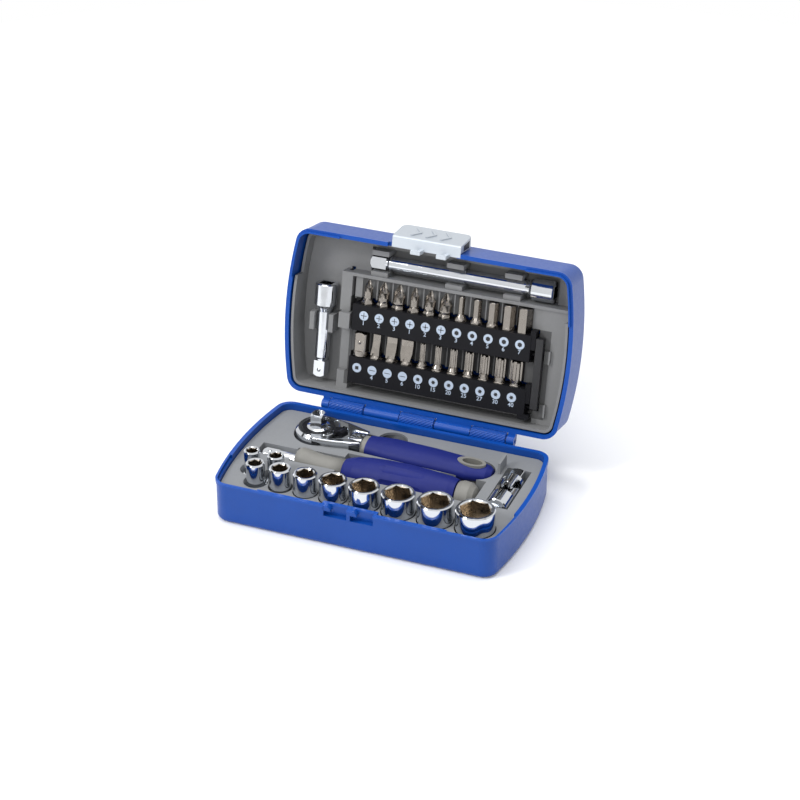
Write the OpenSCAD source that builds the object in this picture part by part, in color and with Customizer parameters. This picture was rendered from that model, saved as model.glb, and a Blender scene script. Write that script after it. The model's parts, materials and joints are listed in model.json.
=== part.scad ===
/* [Case] */
// Width over the bulged ends of the case
case_w = 157; // [150:1:165]
// Depth of the case from front wall to back wall
case_d = 88.5; // [84:0.5:94]
// Height of the base tray to the parting line
base_h = 23.1; // [21:0.1:26]
// Height of the lid above the parting line
lid_h = 24; // [23:0.5:28]
// How far each end bulges past its corners
end_bulge = 4.6; // [3:0.1:6]
// Plan radius of the four case corners
corner_r = 8; // [8:0.5:10]
// Thickness of the case walls
wall = 2.2; // [1.8:0.1:2.6]
// Radius of the edge round the underside of the base
base_edge_r = 2.5; // [1.5:0.1:3]
// Radius of the edge round the top of the lid
lid_edge_r = 3.6; // [3:0.1:3.8]
// Gap left between the two rims when shut
rim_gap = 0.4; // [0.3:0.05:0.8]
// How far the lid leans past upright when open
lid_open = 102.4; // [95:0.2:106]

/* [Hinge and latch] */
// Distance from the back wall to the hinge pin
pin_out = 3.85; // [3.6:0.05:4.4]
// Radius of the hinge barrels
barrel_r = 2.7; // [2.4:0.1:3]
// Diameter of the steel hinge pin
pin_d = 2; // [1.6:0.1:2.4]
// Length of one hinge barrel
barrel_l = 19.7; // [18:0.1:21]
// Width of the sliding latch
latch_w = 33; // [28:1:38]
// How far the latch reaches over the lid
latch_reach = 17; // [14:0.5:20]
// Travel of the latch from free to locked
latch_travel = 3.4; // [3:0.1:4.5]

/* [Trays] */
// Depth of the base tray deck below the rim
deck_drop = 3.9; // [3:0.1:5]
// Thickness of the moulded tray walls
tray_wall = 1.4; // [1.2:0.1:2]
// Clearance round each tool in its pocket
pocket_gap = 0.45; // [0.35:0.05:0.8]

/* [Sockets] */
// Length of every socket
socket_l = 25; // [24:0.5:26]
// Size across the flats of the square drive
drive_af = 6.35; // [6.3:0.05:6.4]
// Where the first socket of the front row stands
row_start = -56.5; // [-58:0.1:-55]
// Web left between neighbouring sockets
socket_web = 1.75; // [1.5:0.05:2]
// Outer diameter of the drive end of the small sockets
drive_end_d = 11.7; // [11.4:0.1:12]

/* [Bits] */
// Distance from one bit to the next
bit_pitch = 8.56; // [8.4:0.02:8.8]
// Size across the flats of the bit shanks
bit_af = 6.35; // [6.3:0.05:6.4]
// Length of a bit
bit_l = 25; // [24:0.5:26]
// Height of a bit rail
rail_h = 14; // [13:0.5:15]

/* [Tools] */
// Length of the short extension bar
short_l = 50.8; // [50:0.2:52]
// Length of the long extension bar
long_l = 100; // [98:0.5:101]
// Diameter of the shaft of the short bar
short_shaft_d = 7.6; // [7:0.1:8]
// Diameter of the shaft of the long bar
long_shaft_d = 8; // [7.4:0.1:8.2]
// Diameter of the heads of both extension bars
ext_head_d = 11.8; // [11.4:0.1:12]
// Radius of the ratchet head
ratchet_r = 12; // [11.4:0.1:12.4]
// Half width of the ratchet grip
grip_a = 8.7; // [8:0.1:9]
// Half height of the ratchet grip
grip_b = 5.7; // [5:0.1:6]
// Radius of the grip of the spinner handle
spinner_r = 10.4; // [9.5:0.1:10.6]
// Diameter of the universal joint
uj_d = 11.8; // [11:0.1:12]

/* [Hidden] */
$fn = 64;
eps = 0.01;
edge_step = 0.04;
pin_y = case_d/2 + pin_out;
pin_z = base_h;
// plan outline of the case: two wide end arcs and four corner arcs
half_chord = case_d/2 - corner_r*0.1;
end_r = (half_chord*half_chord + end_bulge*end_bulge)/(2*end_bulge);
arc_x = end_r - case_w/2;
cy = case_d/2 - corner_r;
cx = sqrt(pow(end_r - corner_r, 2) - cy*cy) - arc_x;
arc_a = atan(cy/(cx + arc_x));
deck_z = base_h - deck_drop;
floor_z = wall + 0.35;
sock_z = 5.4;
sock_y = -30.3;
rail_pitch = 28.6;
rail_piv_y = 3.4;
rail_piv_n = 10;
link_n = 6.4;
link_pin_r = 1.1;
rail_face_n = 4;
rail_back_n = 12.8;
rail_x0 = -42.3;
rail_x1 = 55.4;
link_x = rail_x1 + 2.7;
link_w = 3.8;
shelf_x = rail_x1 + 3;
shelf_n = 9;
post_x = link_x + link_w + 0.4;
ridge_t = 1.7;
bit_n = 8.4;
bit_x1 = -35.8;
bit_x2 = -37.5;
bit_seat = 12;
ratchet_x = -46;
ratchet_y = 25.2;
ratchet_z = 18.3;
ratchet_turn = -2.9;
core_end = 78;
spin_y = 1;
spin_z = 14.8;
uj_x = 63;
uj_y = -8;
uj_z = 17.4;
long_y = -29.6;
long_n = 14;
ridge_y = long_y + 6.7;
long_x0 = -37;
short_x = -60;
short_n = 10;
short_y0 = -14.4;
latch_x = -3.9;
catch_x = -0.8;

// colours
c_case = [0.15, 0.30, 0.70];
c_tray = [0.58, 0.60, 0.62];
c_lidtray = [0.52, 0.53, 0.54];
c_chrome = [0.82, 0.84, 0.88];
c_bit = [0.62, 0.58, 0.53];
c_grip = [0.25, 0.26, 0.60];
c_soft = [0.72, 0.72, 0.66];
c_black = [0.10, 0.10, 0.12];
c_latch = [0.82, 0.84, 0.87];

// ---------- shared shapes ----------
module outline(d) {
  ex = arc_x;
  intersection() {
    translate([-ex, 0]) circle(r = end_r - d, $fn = 256);
    translate([ex, 0]) circle(r = end_r - d, $fn = 256);
    square([2*case_w, 2*cy], center = true);
    polygon([[cx, -cy], [cx + 20*cos(arc_a), -cy - 20*sin(arc_a)],
             [cx + 20*cos(arc_a), cy + 20*sin(arc_a)], [cx, cy],
             [-cx, cy], [-cx - 20*cos(arc_a), cy + 20*sin(arc_a)],
             [-cx - 20*cos(arc_a), -cy - 20*sin(arc_a)], [-cx, -cy]]);
  }
  square([2*cx, case_d - 2*d], center = true);
  for (sx = [-1, 1], sy = [-1, 1])
    translate([sx*cx, sy*cy]) circle(r = corner_r - d, $fn = 64);
  for (s = [-1, 1]) intersection() {
    translate([-s*ex, 0]) circle(r = end_r - d, $fn = 256);
    polygon([[s*cx, -cy], [s*(cx + 20*cos(arc_a)), -cy - 20*sin(arc_a)],
             [s*(cx + 20*cos(arc_a)), cy + 20*sin(arc_a)], [s*cx, cy]]);
  }
}
// block on the outline with its lower edge rounded by f
module tub(d0, h, f) {
  d = d0 + edge_step;
  translate([0, 0, f - edge_step/2]) linear_extrude(h - f + edge_step/2) outline(d0);
  linear_extrude(f + eps) outline(d + f);
  for (sx = [-1, 1], sy = [-1, 1]) translate([sx*cx, sy*cy, f])
    rotate_extrude() intersection() {
      translate([corner_r - d - f, 0]) circle(r = f, $fn = 48);
      translate([corner_r - d - f, -f]) square([f, f + eps]);
    }
  for (s = [-1, 1]) translate([0, s*(case_d/2 - d - f), f]) intersection() {
    rotate([0, 90, 0]) cylinder(r = f, h = 2*cx, center = true, $fn = 48);
    translate([0, s*f/2, -f/2 + eps/2]) cube([2*cx, f, f + eps], center = true);
  }
  for (s = [0, 180]) rotate([0, 0, s]) translate([-arc_x, 0, f])
    rotate([0, 0, -arc_a]) rotate_extrude(angle = 2*arc_a, $fn = 256) intersection() {
      translate([end_r - d - f, 0]) circle(r = f, $fn = 48);
      translate([end_r - d - f, -f]) square([f, f + eps]);
    }
}
// puts a shape drawn in the shut lid into its open place
module in_lid() {
  translate([0, pin_y, pin_z]) rotate([-lid_open, 0, 0]) translate([0, -pin_y, -pin_z])
    children();
}
// box from its low corner to its high corner
module slab(a, b) { translate(a) cube([b[0] - a[0], b[1] - a[1], b[2] - a[2]]); }
// cylinder along X from x0 to x1
module rod_x(x0, x1, y, z, r) { translate([x0, y, z]) rotate([0, 90, 0]) cylinder(r = r, h = x1 - x0); }
// cylinder along Y from y0 to y1
module rod_y(x, y0, y1, z, r) { translate([x, y0, z]) rotate([-90, 0, 0]) cylinder(r = r, h = y1 - y0); }
// hexagon prism with a flat facing Y, size across the flats
module hex(af, h) { cylinder(d = af/cos(30), h = h, $fn = 6); }
// square prism standing on the origin
module sq(af, h) { translate([-af/2, -af/2, 0]) cube([af, af, h]); }
// chamfered male square drive, pointing up
module male_square(h) {
  intersection() {
    sq(drive_af, h);
    rotate_extrude() polygon([[0, 0], [4.35, 0], [4.35, h - 1], [3.3, h], [0, h]]);
  }
}
// ball that snaps into the female square
module ball(z) { translate([drive_af/2 - 0.75, 0, z]) sphere(r = 1.3, $fn = 32); }

// ---------- case ----------
base_knuckles = [[-2.5, -1.5], [-0.5, 0.5], [1.5, 2.5]];
lid_knuckles = [[-1.5, -0.5], [0.5, 1.5]];
module barrel(x0, x1) { rod_x(x0, x1, pin_y, pin_z, barrel_r); }
module catch_hooks() {
  // two barbed ledges over the slot, each with a slanted nose
  for (x = [catch_x - 13.2, catch_x + 0.8])
    translate([x, -case_d/2 + 0.3, 0]) {
      difference() {
        slab([0, 0, base_h - 3], [3.6, 2.9, base_h - rim_gap/2]);
        translate([3.6, -1, base_h - rim_gap/2]) rotate([0, 45, 0]) translate([-1.2, 0, -1.2]) cube([2.4, 6, 2.4]);
      }
    }
  slab([catch_x - 0.9, -case_d/2 + 0.3, base_h - 6.4], [catch_x + 0.9, -case_d/2 + 3.2, base_h - rim_gap/2]);
}
module case_base() {
  color(c_case) {
    difference() {
      union() {
        tub(0.45, base_h - rim_gap/2, base_edge_r);
        translate([0, 0, base_h - 2.4]) linear_extrude(2.4 - rim_gap/2) outline(0);
        for (k = base_knuckles) {
          barrel(k[0]*barrel_l + 0.2, k[1]*barrel_l - 0.2);
          slab([k[0]*barrel_l + 0.2, case_d/2 - 0.6, base_h - barrel_r],
               [k[1]*barrel_l - 0.2, pin_y, base_h - rim_gap/2]);
        }
      }
      difference() {
        translate([0, 0, wall]) linear_extrude(base_h) outline(wall);
        // thicker wall behind the catch
        slab([catch_x - 14.6, -case_d/2, base_h - 8], [catch_x + 14.4, -case_d/2 + 4.8, base_h]);
      }
      // inner half of the rim is cut down at the front corners for the lid tongues
      for (s = [-1, 1]) intersection() {
        translate([0, 0, base_h - 2]) linear_extrude(4) outline(1.15);
        translate([s*65 - 15, -case_d, base_h - 3]) cube([30, case_d - 17, 6]);
      }
      // catch recess
      slab([catch_x - 13.2, -case_d/2 - 1, base_h - 6.2], [catch_x + 13, -case_d/2 + 3.2, base_h + 1]);
      rod_x(-2.6*barrel_l, 2.6*barrel_l, pin_y, pin_z, pin_d/2);
    }
    catch_hooks();
  }
}
module lid_shell() {
  difference() {
    union() {
      translate([0, 0, base_h + lid_h]) mirror([0, 0, 1]) tub(0.3, lid_h - rim_gap/2, lid_edge_r);
      translate([0, 0, base_h + rim_gap/2]) linear_extrude(2.4) outline(0);
      // tongues
      for (s = [-1, 1]) intersection() {
        translate([0, 0, base_h - 1.5]) linear_extrude(3) difference() { outline(1.5); outline(wall + 0.1); }
        translate([s*65 - 14.6, -case_d, base_h - 3]) cube([29.2, case_d - 17.4, 6]);
      }
      // guide boss for the latch
      slab([latch_x - 12, -case_d/2 - 1.9, base_h + 4.5], [latch_x + 10.5, -case_d/2 + 1, base_h + 13.5]);
      for (k = lid_knuckles) {
        barrel(k[0]*barrel_l + 0.2, k[1]*barrel_l - 0.2);
        slab([k[0]*barrel_l + 0.2, case_d/2 - 0.6, base_h + rim_gap/2],
             [k[1]*barrel_l - 0.2, pin_y, base_h + barrel_r]);
      }
      for (s = [-1, 1]) {
        rod_x(s*51.45 - 2, s*51.45 + 2, pin_y, pin_z, barrel_r);
        slab([s*51.45 - 2, case_d/2 - 0.6, base_h + rim_gap/2], [s*51.45 + 2, pin_y, base_h + barrel_r]);
      }
    }
    translate([0, 0, base_h - wall]) linear_extrude(lid_h) outline(wall);
    // rim cut back for the latch
    slab([latch_x - latch_w/2 - 0.6 - latch_travel, -case_d/2 - 1, base_h - 1],
         [latch_x + latch_w/2 + 0.6, -case_d/2 + 3, base_h + 2.2]);
    rod_x(-60, 60, pin_y, pin_z, pin_d/2 + 0.08);
  }
}
module case_lid() { color(c_case) in_lid() lid_shell(); }
module hinge_pin() { color(c_chrome) rod_x(-53, 53, pin_y, pin_z, pin_d/2); }
module latch_slider() {
  y0 = -case_d/2 - 3.8;
  z0 = base_h + 0.1;
  color(c_latch) in_lid() translate([latch_x, 0, 0]) {
    difference() {
      union() {
        // cap with rounded plan corners
        intersection() {
          slab([-latch_w/2, y0, z0], [latch_w/2, -case_d/2 - 0.35, z0 + latch_reach]);
          translate([0, -case_d/2, 0]) rotate([90, 0, 0]) linear_extrude(10) {
            translate([-latch_w/2 + 3, z0]) square([latch_w - 6, latch_reach]);
            translate([-latch_w/2, z0 + 3]) square([latch_w, latch_reach - 6]);
            for (x = [-latch_w/2 + 3, latch_w/2 - 3], z = [z0 + 3, z0 + latch_reach - 3])
              translate([x, z]) circle(r = 3, $fn = 32);
          }
        }
        slab([-latch_w/2 + 3, y0 + 1, z0], [latch_w/2 - 3, -case_d/2 + 1.9, z0 + 1.6]);
        // hooked tabs
        for (x = [-5.5, 8.5]) {
          slab([x + 2.9, -case_d/2 + 0.7, base_h - 5.2], [x + 4.6, -case_d/2 + 2.7, z0 + 0.5]);
          slab([x - 0.6, -case_d/2 + 0.7, base_h - 5.2], [x + 4.6, -case_d/2 + 2.7, base_h - 3.5]);
        }
      }
      // hollow under the cap
      slab([-latch_w/2 + 1.6, y0 + 1.5, z0 + 2.4], [latch_w/2 - 1.6, -case_d/2 + 0.5, z0 + latch_reach - 1.6]);
      slab([latch_w/2 - 2, y0 + 1.7, z0 + 5], [latch_w/2 + 2, -case_d/2 + 0.5, z0 + 12]);
      // softened outer edges
      translate([0, y0, z0]) rotate([45, 0, 0]) cube([latch_w + 2, 1.1, 1.1], center = true);
      translate([0, y0, z0 + latch_reach]) rotate([45, 0, 0]) cube([latch_w + 2, 1.1, 1.1], center = true);
    }
    // three raised chevrons
    for (k = [-1:1]) translate([k*8, y0 + 0.2, z0 + 8.5]) rotate([90, 0, 0]) linear_extrude(0.55)
      polygon([[-1.8, 3.8], [-1.1, 3.8], [1.8, 0], [-1.1, -3.8], [-1.8, -3.8], [0.9, 0]]);
  }
}

// ---------- sockets ----------
// outer diameters along the front row, and where each socket stands
function sock_d(i) = [9.4, 11, 12.2, 14.2, 15.5, 17, 18.2, 19.8][i];
function sock_af(i) = [6, 7, 8, 10, 11, 12, 13, 14][i];
function stand_d(i) = max(drive_end_d, sock_d(i));
function front_x(i) = i == 0 ? row_start : front_x(i - 1) + (stand_d(i - 1) + stand_d(i))/2 + socket_web;
small_a = [-63, -20];
small_b = [-49.9, -20];
// one socket standing on its drive end
module socket(af, od) {
  step = max(drive_end_d, od*0.86);
  r1 = step/2;
  r2 = od/2;
  nose = socket_l - 13.2;
  difference() {
    rotate_extrude() polygon(od < drive_end_d ?
      [[0, 0], [r1 - 0.6, 0], [r1, 0.6], [r1, nose - 0.5], [r1 - 0.5, nose], [r2, nose + 0.4],
       [r2, socket_l - 0.5], [r2 - 0.4, socket_l], [0, socket_l]] :
      [[0, 0], [r1 - 0.7, 0], [r1, 0.7], [r1, nose - 4], [r2, nose],
       [r2, socket_l - 0.6], [r2 - 0.5, socket_l], [0, socket_l]]);
    translate([0, 0, socket_l - 9.6]) hex(af + 0.1, 10);
    translate([0, 0, socket_l - 0.9]) cylinder(d1 = af, d2 = min(od - 0.9, af/cos(30) + 0.6), h = 1);
    translate([0, 0, -1]) sq(drive_af + 0.12, 9);
    translate([0, 0, 5]) cylinder(d = min(af*0.9, 6.4), h = 14);
    // detent dimples in the square
    for (a = [0, 90]) rotate([0, 0, a]) translate([0, 0, 4]) rotate([0, 90, 0])
      cylinder(d = 2.6, h = drive_af + 1.7, center = true, $fn = 24);
  }
}
module at_front(i) { translate([front_x(i), sock_y, sock_z]) children(); }
module socket_05() { color(c_chrome) translate([small_a[0], small_a[1], sock_z]) socket(5, 8.2); }
module socket_055() { color(c_chrome) translate([small_b[0], small_b[1], sock_z]) socket(5.5, 8.7); }
module socket_06() { color(c_chrome) at_front(0) socket(sock_af(0), sock_d(0)); }
module socket_07() { color(c_chrome) at_front(1) socket(sock_af(1), sock_d(1)); }
module socket_08() { color(c_chrome) at_front(2) socket(sock_af(2), sock_d(2)); }
module socket_10() { color(c_chrome) at_front(3) socket(sock_af(3), sock_d(3)); }
module socket_11() { color(c_chrome) at_front(4) socket(sock_af(4), sock_d(4)); }
module socket_12() { color(c_chrome) at_front(5) socket(sock_af(5), sock_d(5)); }
module socket_13() { color(c_chrome) at_front(6) socket(sock_af(6), sock_d(6)); }
module socket_14() { color(c_chrome) at_front(7) socket(sock_af(7), sock_d(7)); }

// ---------- base tray ----------
// the hollow that holds one socket, grown by g
module socket_well(i, g) {
  r1 = max(drive_end_d, sock_d(i)*0.86)/2 + pocket_gap;
  r2 = stand_d(i)/2 + pocket_gap;
  z = g > 0 ? floor_z : sock_z - 0.35;
  translate([front_x(i), sock_y, z]) {
    cylinder(r = r1 + g, h = 40);
    translate([0, 0, sock_z + 7 - z]) cylinder(r = r2 + g, h = 40);
  }
}
module small_well(p, g) {
  translate([p[0], p[1], g > 0 ? floor_z : sock_z - 0.35]) cylinder(r = drive_end_d/2 + pocket_gap + g, h = 40);
}
module ratchet_well(g) {
  zb = -grip_b - 0.35 - g;
  w = grip_a + 0.6 + g;
  at_ratchet() {
    translate([0, 0, zb]) cylinder(r = ratchet_r + 1.1 + g, h = 30);
    slab([0, -7.4 - g, zb], [32, 7.4 + g, 26]);
    // round the shoulder that holds the lever
    translate([0, 0, zb]) linear_extrude(30) polygon([[0, -ratchet_r - 0.3 - g], [3, -ratchet_r - 0.3 - g], [13.6, -9.2 - g], [20, -5.4 - g],
      [20, 5.4 + g], [13.6, 9.2 + g], [3, ratchet_r + 0.3 + g], [0, ratchet_r + 0.3 + g]]);
    slab([21 - g, -w, zb], [89, w, 26]);
    translate([89, 0, zb]) cylinder(r = w, h = 30);
  }
}
module spinner_well(g) {
  r = spinner_r + 0.4 + g;
  rod_x(-24 - g, 51 + g, spin_y, spin_z, r);
  slab([-24 - g, spin_y - r, spin_z], [51 + g, spin_y + r, 45]);
  rod_x(-49.5 - g, -20, spin_y, spin_z, 6.7 + g);
  slab([-49.5 - g, spin_y - 6.7 - g, spin_z], [-20, spin_y + 6.7 + g, 45]);
  rod_x(-68.5 - g, -45, spin_y, spin_z, 4.9 + g);
  slab([-68.5 - g, spin_y - 4.9 - g, spin_z], [-45, spin_y + 4.9 + g, 45]);
}
module uj_well(g) {
  r = uj_d/2 + 0.4 + g;
  rod_y(uj_x, uj_y - 0.8 - g, uj_y + 36.6 + g, uj_z, r);
  slab([uj_x - r, uj_y - 0.8 - g, uj_z], [uj_x + r, uj_y + 36.6 + g, 45]);
  // deeper under the fork that swings down
  slab([uj_x - 3.6 - g, uj_y + 10 - g, uj_z - uj_d/2 - 1.1 - g], [uj_x + 3.6 + g, uj_y + 24 + g, uj_z]);
}
module base_inlay() {
  color(c_tray) difference() {
    union() {
      intersection() {
        translate([0, 0, floor_z]) linear_extrude(deck_z - floor_z) outline(wall + 0.35);
        union() {
          translate([0, 0, deck_z - tray_wall]) linear_extrude(tray_wall) outline(wall + 0.35);
          linear_extrude(deck_z) difference() { outline(wall + 0.35); outline(wall + 0.35 + tray_wall); }
          for (i = [0:7]) socket_well(i, tray_wall);
          small_well(small_a, tray_wall);
          small_well(small_b, tray_wall);
          ratchet_well(tray_wall);
          spinner_well(tray_wall);
          uj_well(tray_wall);
        }
      }
      // upright fin beside the universal joint
      slab([53.8, 20.8, deck_z - 1], [55.2, 30.6, base_h + 2.3]);
    }
    for (i = [0:7]) socket_well(i, 0);
    small_well(small_a, 0);
    small_well(small_b, 0);
    ratchet_well(0);
    spinner_well(0);
    uj_well(0);
    // room for the wall behind the catch
    slab([catch_x - 15.2, -case_d/2, base_h - 8.6], [catch_x + 15, -case_d/2 + 5.4, base_h + 1]);
    // finger scoops
    at_ratchet() translate([38, grip_a, 0]) sphere(r = 8, $fn = 48);
    translate([30, spin_y - spinner_r, deck_z + 6]) sphere(r = 8, $fn = 48);
  }
}

// ---------- lid tray ----------
lf = base_h + short_n + ext_head_d/2 + 0.3;
scallop_r = bit_pitch/2 - 0.1;
jaw_s = short_shaft_d/2 + 0.3;
jaw_l = long_shaft_d/2 + 0.3;
module jaw_pair_long(x) {
  // two pads that spring over the long bar
  for (s = [-1, 1]) {
    slab([x - 4.6, long_y + (s > 0 ? jaw_l : -6.9), base_h + 9.2], [x + 4.6, long_y + (s > 0 ? 6.9 : -jaw_l), lf + 3]);
  }
}
module lid_inlay_shape() {
  difference() {
    union() {
      // side wall and floor
      difference() {
        translate([0, 0, base_h + 1.2]) linear_extrude(16.8) difference() { outline(wall + 0.9); outline(wall + 0.9 + tray_wall); }
        // kept low in front, clear of the standing sockets
        slab([-case_w/2, -case_d/2, base_h], [case_w/2, -18, base_h + 8.4]);
      }
      translate([0, 0, lf]) linear_extrude(1.5) outline(wall + 0.9);
      // deep channel for the long bar
      slab([long_x0 - 2.6, long_y - 8.2, lf], [long_x0 + long_l + 2.6, long_y + 8.2, base_h + 21.4]);
      // raised frame round the bit rails
      slab([-51, ridge_y, base_h + 8], [-45, -2, lf + 1]);
      slab([-49.5, -2, base_h + 3.2], [-43.4, 6.3, lf + 1]);
      slab([-50, 6.3, base_h + 10.3], [-44, 30.2, lf + 1]);
      slab([-49.5, 30.2, base_h + 6.5], [-43.4, 41, lf + 1]);
      slab([-51, ridge_y, base_h + 8], [case_w/2, ridge_y + ridge_t, lf + 1]);
      // raised floor between the bit bay and the right end
      slab([shelf_x, ridge_y, base_h + shelf_n], [case_w/2, 41, lf + 1]);
      // posts that carry the rail pivots
      for (k = [0, 1]) slab([post_x, rail_piv_y + k*rail_pitch - 3.4, base_h + 7.2], [post_x + 3.1, rail_piv_y + k*rail_pitch + 3.4, lf + 1]);
      // backs scalloped round the bits
      for (r = [0, 1]) difference() {
        slab([-43.6, r*rail_pitch - (r == 0 ? 21.4 : 20.8), base_h + bit_n + 1.2], [shelf_x + 0.1, r*rail_pitch - 9.2, lf + 1]);
        for (k = [0:10]) rod_y((r == 0 ? bit_x1 : bit_x2) + k*bit_pitch, r*rail_pitch - 22, r*rail_pitch - 8, base_h + bit_n, scallop_r);
      }
      // jaws of the short bar
      for (s = [-1, 1]) slab([short_x + (s > 0 ? jaw_s : -jaw_s - 2.5), 1.2, base_h + 5.6],
                             [short_x + (s > 0 ? jaw_s + 2.5 : -jaw_s), 10.8, lf + 1]);
    }
    // channel inside
    slab([long_x0 - 1.2, long_y - 6.9, base_h - 1], [long_x0 + long_l + 1.2, ridge_y, base_h + 20.2]);
    // slots behind the bits
    for (r = [0, 1]) slab([-42.6, r*rail_pitch - 9.8, lf - 8], [shelf_x - 0.2, r*rail_pitch - 5.4, lf + 5]);
    // bores for the rail pivots
    for (k = [0, 1]) rod_x(-46.2, post_x + 2.1, rail_piv_y + k*rail_pitch, base_h + rail_piv_n, 1.33);
    // hollow of the left post
    slab([-48.9, -24, lf - 4.4], [-46.8, 40, lf + 3]);
  }
  jaw_pair_long(-31);
  jaw_pair_long(10);
  jaw_pair_long(41.5);
}
module lid_inlay() {
  color(c_lidtray) in_lid() intersection() {
    lid_inlay_shape();
    translate([0, 0, base_h]) linear_extrude(30) outline(wall + 0.9);
  }
}

// ---------- bit rails ----------
module rail(x0b, k) {
  y0 = k*rail_pitch;
  difference() {
    union() {
      slab([rail_x0, y0 - 7.6, base_h + rail_face_n], [rail_x1, y0 - 7.6 + rail_h, base_h + rail_back_n]);
      rod_x(rail_x0 - 2.6, rail_x0 + 1, y0 + rail_piv_y, base_h + rail_piv_n, 1.25);
      rod_x(rail_x1 - 1, post_x + 1.7, y0 + rail_piv_y, base_h + rail_piv_n, 1.25);
      // tab and stub for the link
      slab([rail_x1 - 0.5, y0 - 10.2, base_h + rail_face_n + 0.3], [rail_x1 + 2.4, y0 - 0.2, base_h + 9]);
      rod_x(rail_x1 + 1, link_x + 3.5, y0 - 3.4, base_h + link_n, link_pin_r);
      // foot at the low end
      if (k == 1) slab([rail_x1 - 3.6, y0 + 5.9, base_h + rail_face_n + 0.2], [rail_x1 + 2.6, y0 + 8.6, base_h + 8.2]);
    }
    for (i = [0:10]) translate([x0b + i*bit_pitch, y0 - 7.6, base_h + bit_n]) rotate([-90, 0, 0])
      translate([0, 0, -1]) rotate([0, 0, 0]) hex(bit_af + 0.06, bit_seat + 1);
    // lightening pockets in the back
    for (i = [0:9]) slab([x0b + (i + 0.5)*bit_pitch - 0.9, y0 - 5.2, base_h + rail_back_n - 1.6],
                         [x0b + (i + 0.5)*bit_pitch + 0.9, y0 + 3, base_h + rail_back_n + 1]);
  }
}
module bit_rail_upper() { color(c_black) in_lid() rail(bit_x1, 0); }
module bit_rail_lower() { color(c_black) in_lid() rail(bit_x2, 1); }
module rail_link() {
  color(c_black) in_lid() difference() {
    union() {
      slab([link_x, -5.6, base_h + 4.4], [link_x + link_w, rail_pitch + 2.4, base_h + 8.3]);
      slab([link_x, -6.6, base_h + 4.1], [link_x + link_w, -4.6, base_h + 8.3]);
    }
    for (k = [0, 1]) rod_x(link_x - 1, link_x + link_w + 1, k*rail_pitch - 3.4, base_h + link_n, link_pin_r + 0.07);
  }
}
// a bit in its rail: row 0 or 1, place i; drawn with its tip up
module in_rail(row, i) {
  in_lid() translate([(row == 0 ? bit_x1 : bit_x2) + i*bit_pitch, row*rail_pitch - 7.6 + bit_seat, base_h + bit_n])
    rotate([90, 0, 0]) children();
}
// shank with its snap notch
module shank(h) {
  intersection() {
    difference() {
      hex(bit_af, h);
      translate([0, 0, 9.4]) rotate_extrude() translate([4.15, 0]) circle(r = 0.95, $fn = 24);
    }
    rotate_extrude() polygon([[0, 0], [3.1, 0], [3.75, 0.8], [3.75, h - 1.5], [2.6, h], [0, h]]);
  }
}
// cross recess driver tip of diameter d ending in a cone
module cross_bit(d, w) {
  shank(15);
  difference() {
    rotate_extrude() polygon([[0, 14], [d/2, 14], [d/2, bit_l - d*0.72], [0.75, bit_l - 0.3], [0.5, bit_l], [0, bit_l]]);
    for (a = [45:90:315]) rotate([0, 0, a]) translate([w*0.55, 0, bit_l + 1]) rotate([0, -12, 0])
      rotate([0, 0, -45]) translate([0, 0, -9.4]) cube([8, 8, 12]);
  }
}
module hex_bit(af) {
  shank(af > 6 ? 12 : 14);
  if (af < 6) rotate_extrude() polygon([[0, 13], [2.9, 13], [af/2, 15.5], [0, 15.5]]);
  intersection() {
    translate([0, 0, 11.5]) hex(af, bit_l - 11.5);
    rotate_extrude() polygon([[0, 11], [5, 11], [5, bit_l - 3], [af*0.577, bit_l - 0.6], [af*0.577 - 0.5, bit_l], [0, bit_l]]);
  }
}
module slot_bit(w, t) {
  shank(14);
  rotate_extrude() polygon([[0, 13], [2.9, 13], [2.5, 15.2], [0, 15.2]]);
  intersection() {
    rotate([90, 0, 0]) linear_extrude(8, center = true)
      polygon([[-2.4, 14], [2.4, 14], [w/2, 18], [w/2, bit_l], [-w/2, bit_l], [-w/2, 18]]);
    rotate([0, 90, 0]) rotate([0, 0, 90]) linear_extrude(8, center = true)
      polygon([[-2.4, 14], [2.4, 14], [t/2, 22], [t/2, bit_l], [-t/2, bit_l], [-t/2, 22]]);
  }
}
module star_bit(d) {
  shank(13);
  difference() {
    rotate_extrude() polygon([[0, 11], [2.9, 11], [2.9, 13.4], [d/2, 15.6], [d/2, bit_l - 0.6], [d/2 - 0.4, bit_l], [0, bit_l]]);
    for (a = [30:60:330]) rotate(a) translate([d*0.54, 0, 15]) cylinder(r = d*0.17, h = 12, $fn = 32);
  }
}
module bit_cross_1() { color(c_bit) in_rail(0, 0) cross_bit(4.6, 0.9); }
module bit_cross_2() { color(c_bit) in_rail(0, 1) cross_bit(5.6, 1.1); }
module bit_cross_3() { color(c_bit) in_rail(0, 2) cross_bit(6, 1.5); }
module bit_cross_4() { color(c_bit) in_rail(0, 3) cross_bit(4.6, 1); }
module bit_cross_5() { color(c_bit) in_rail(0, 4) cross_bit(5.8, 1.2); }
module bit_cross_6() { color(c_bit) in_rail(0, 5) cross_bit(6.1, 1.6); }
module bit_hex_3() { color(c_bit) in_rail(0, 6) hex_bit(3); }
module bit_hex_4() { color(c_bit) in_rail(0, 7) hex_bit(4); }
module bit_hex_5() { color(c_bit) in_rail(0, 8) hex_bit(5); }
module bit_hex_6() { color(c_bit) in_rail(0, 9) hex_bit(6); }
module bit_hex_7() { color(c_bit) in_rail(0, 10) hex_bit(7); }
module bit_adaptor() {
  color(c_bit) in_rail(1, 0) {
    shank(13);
    translate([0, 0, 12.4]) cylinder(d = 7.8, h = 2.6);
    translate([0, 0, 14]) intersection() { male_square(bit_l - 14); cylinder(d = 8, h = 30); }
    rotate([0, 0, -90]) ball(20);
  }
}
module bit_slot_4() { color(c_bit) in_rail(1, 1) slot_bit(4, 0.8); }
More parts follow.
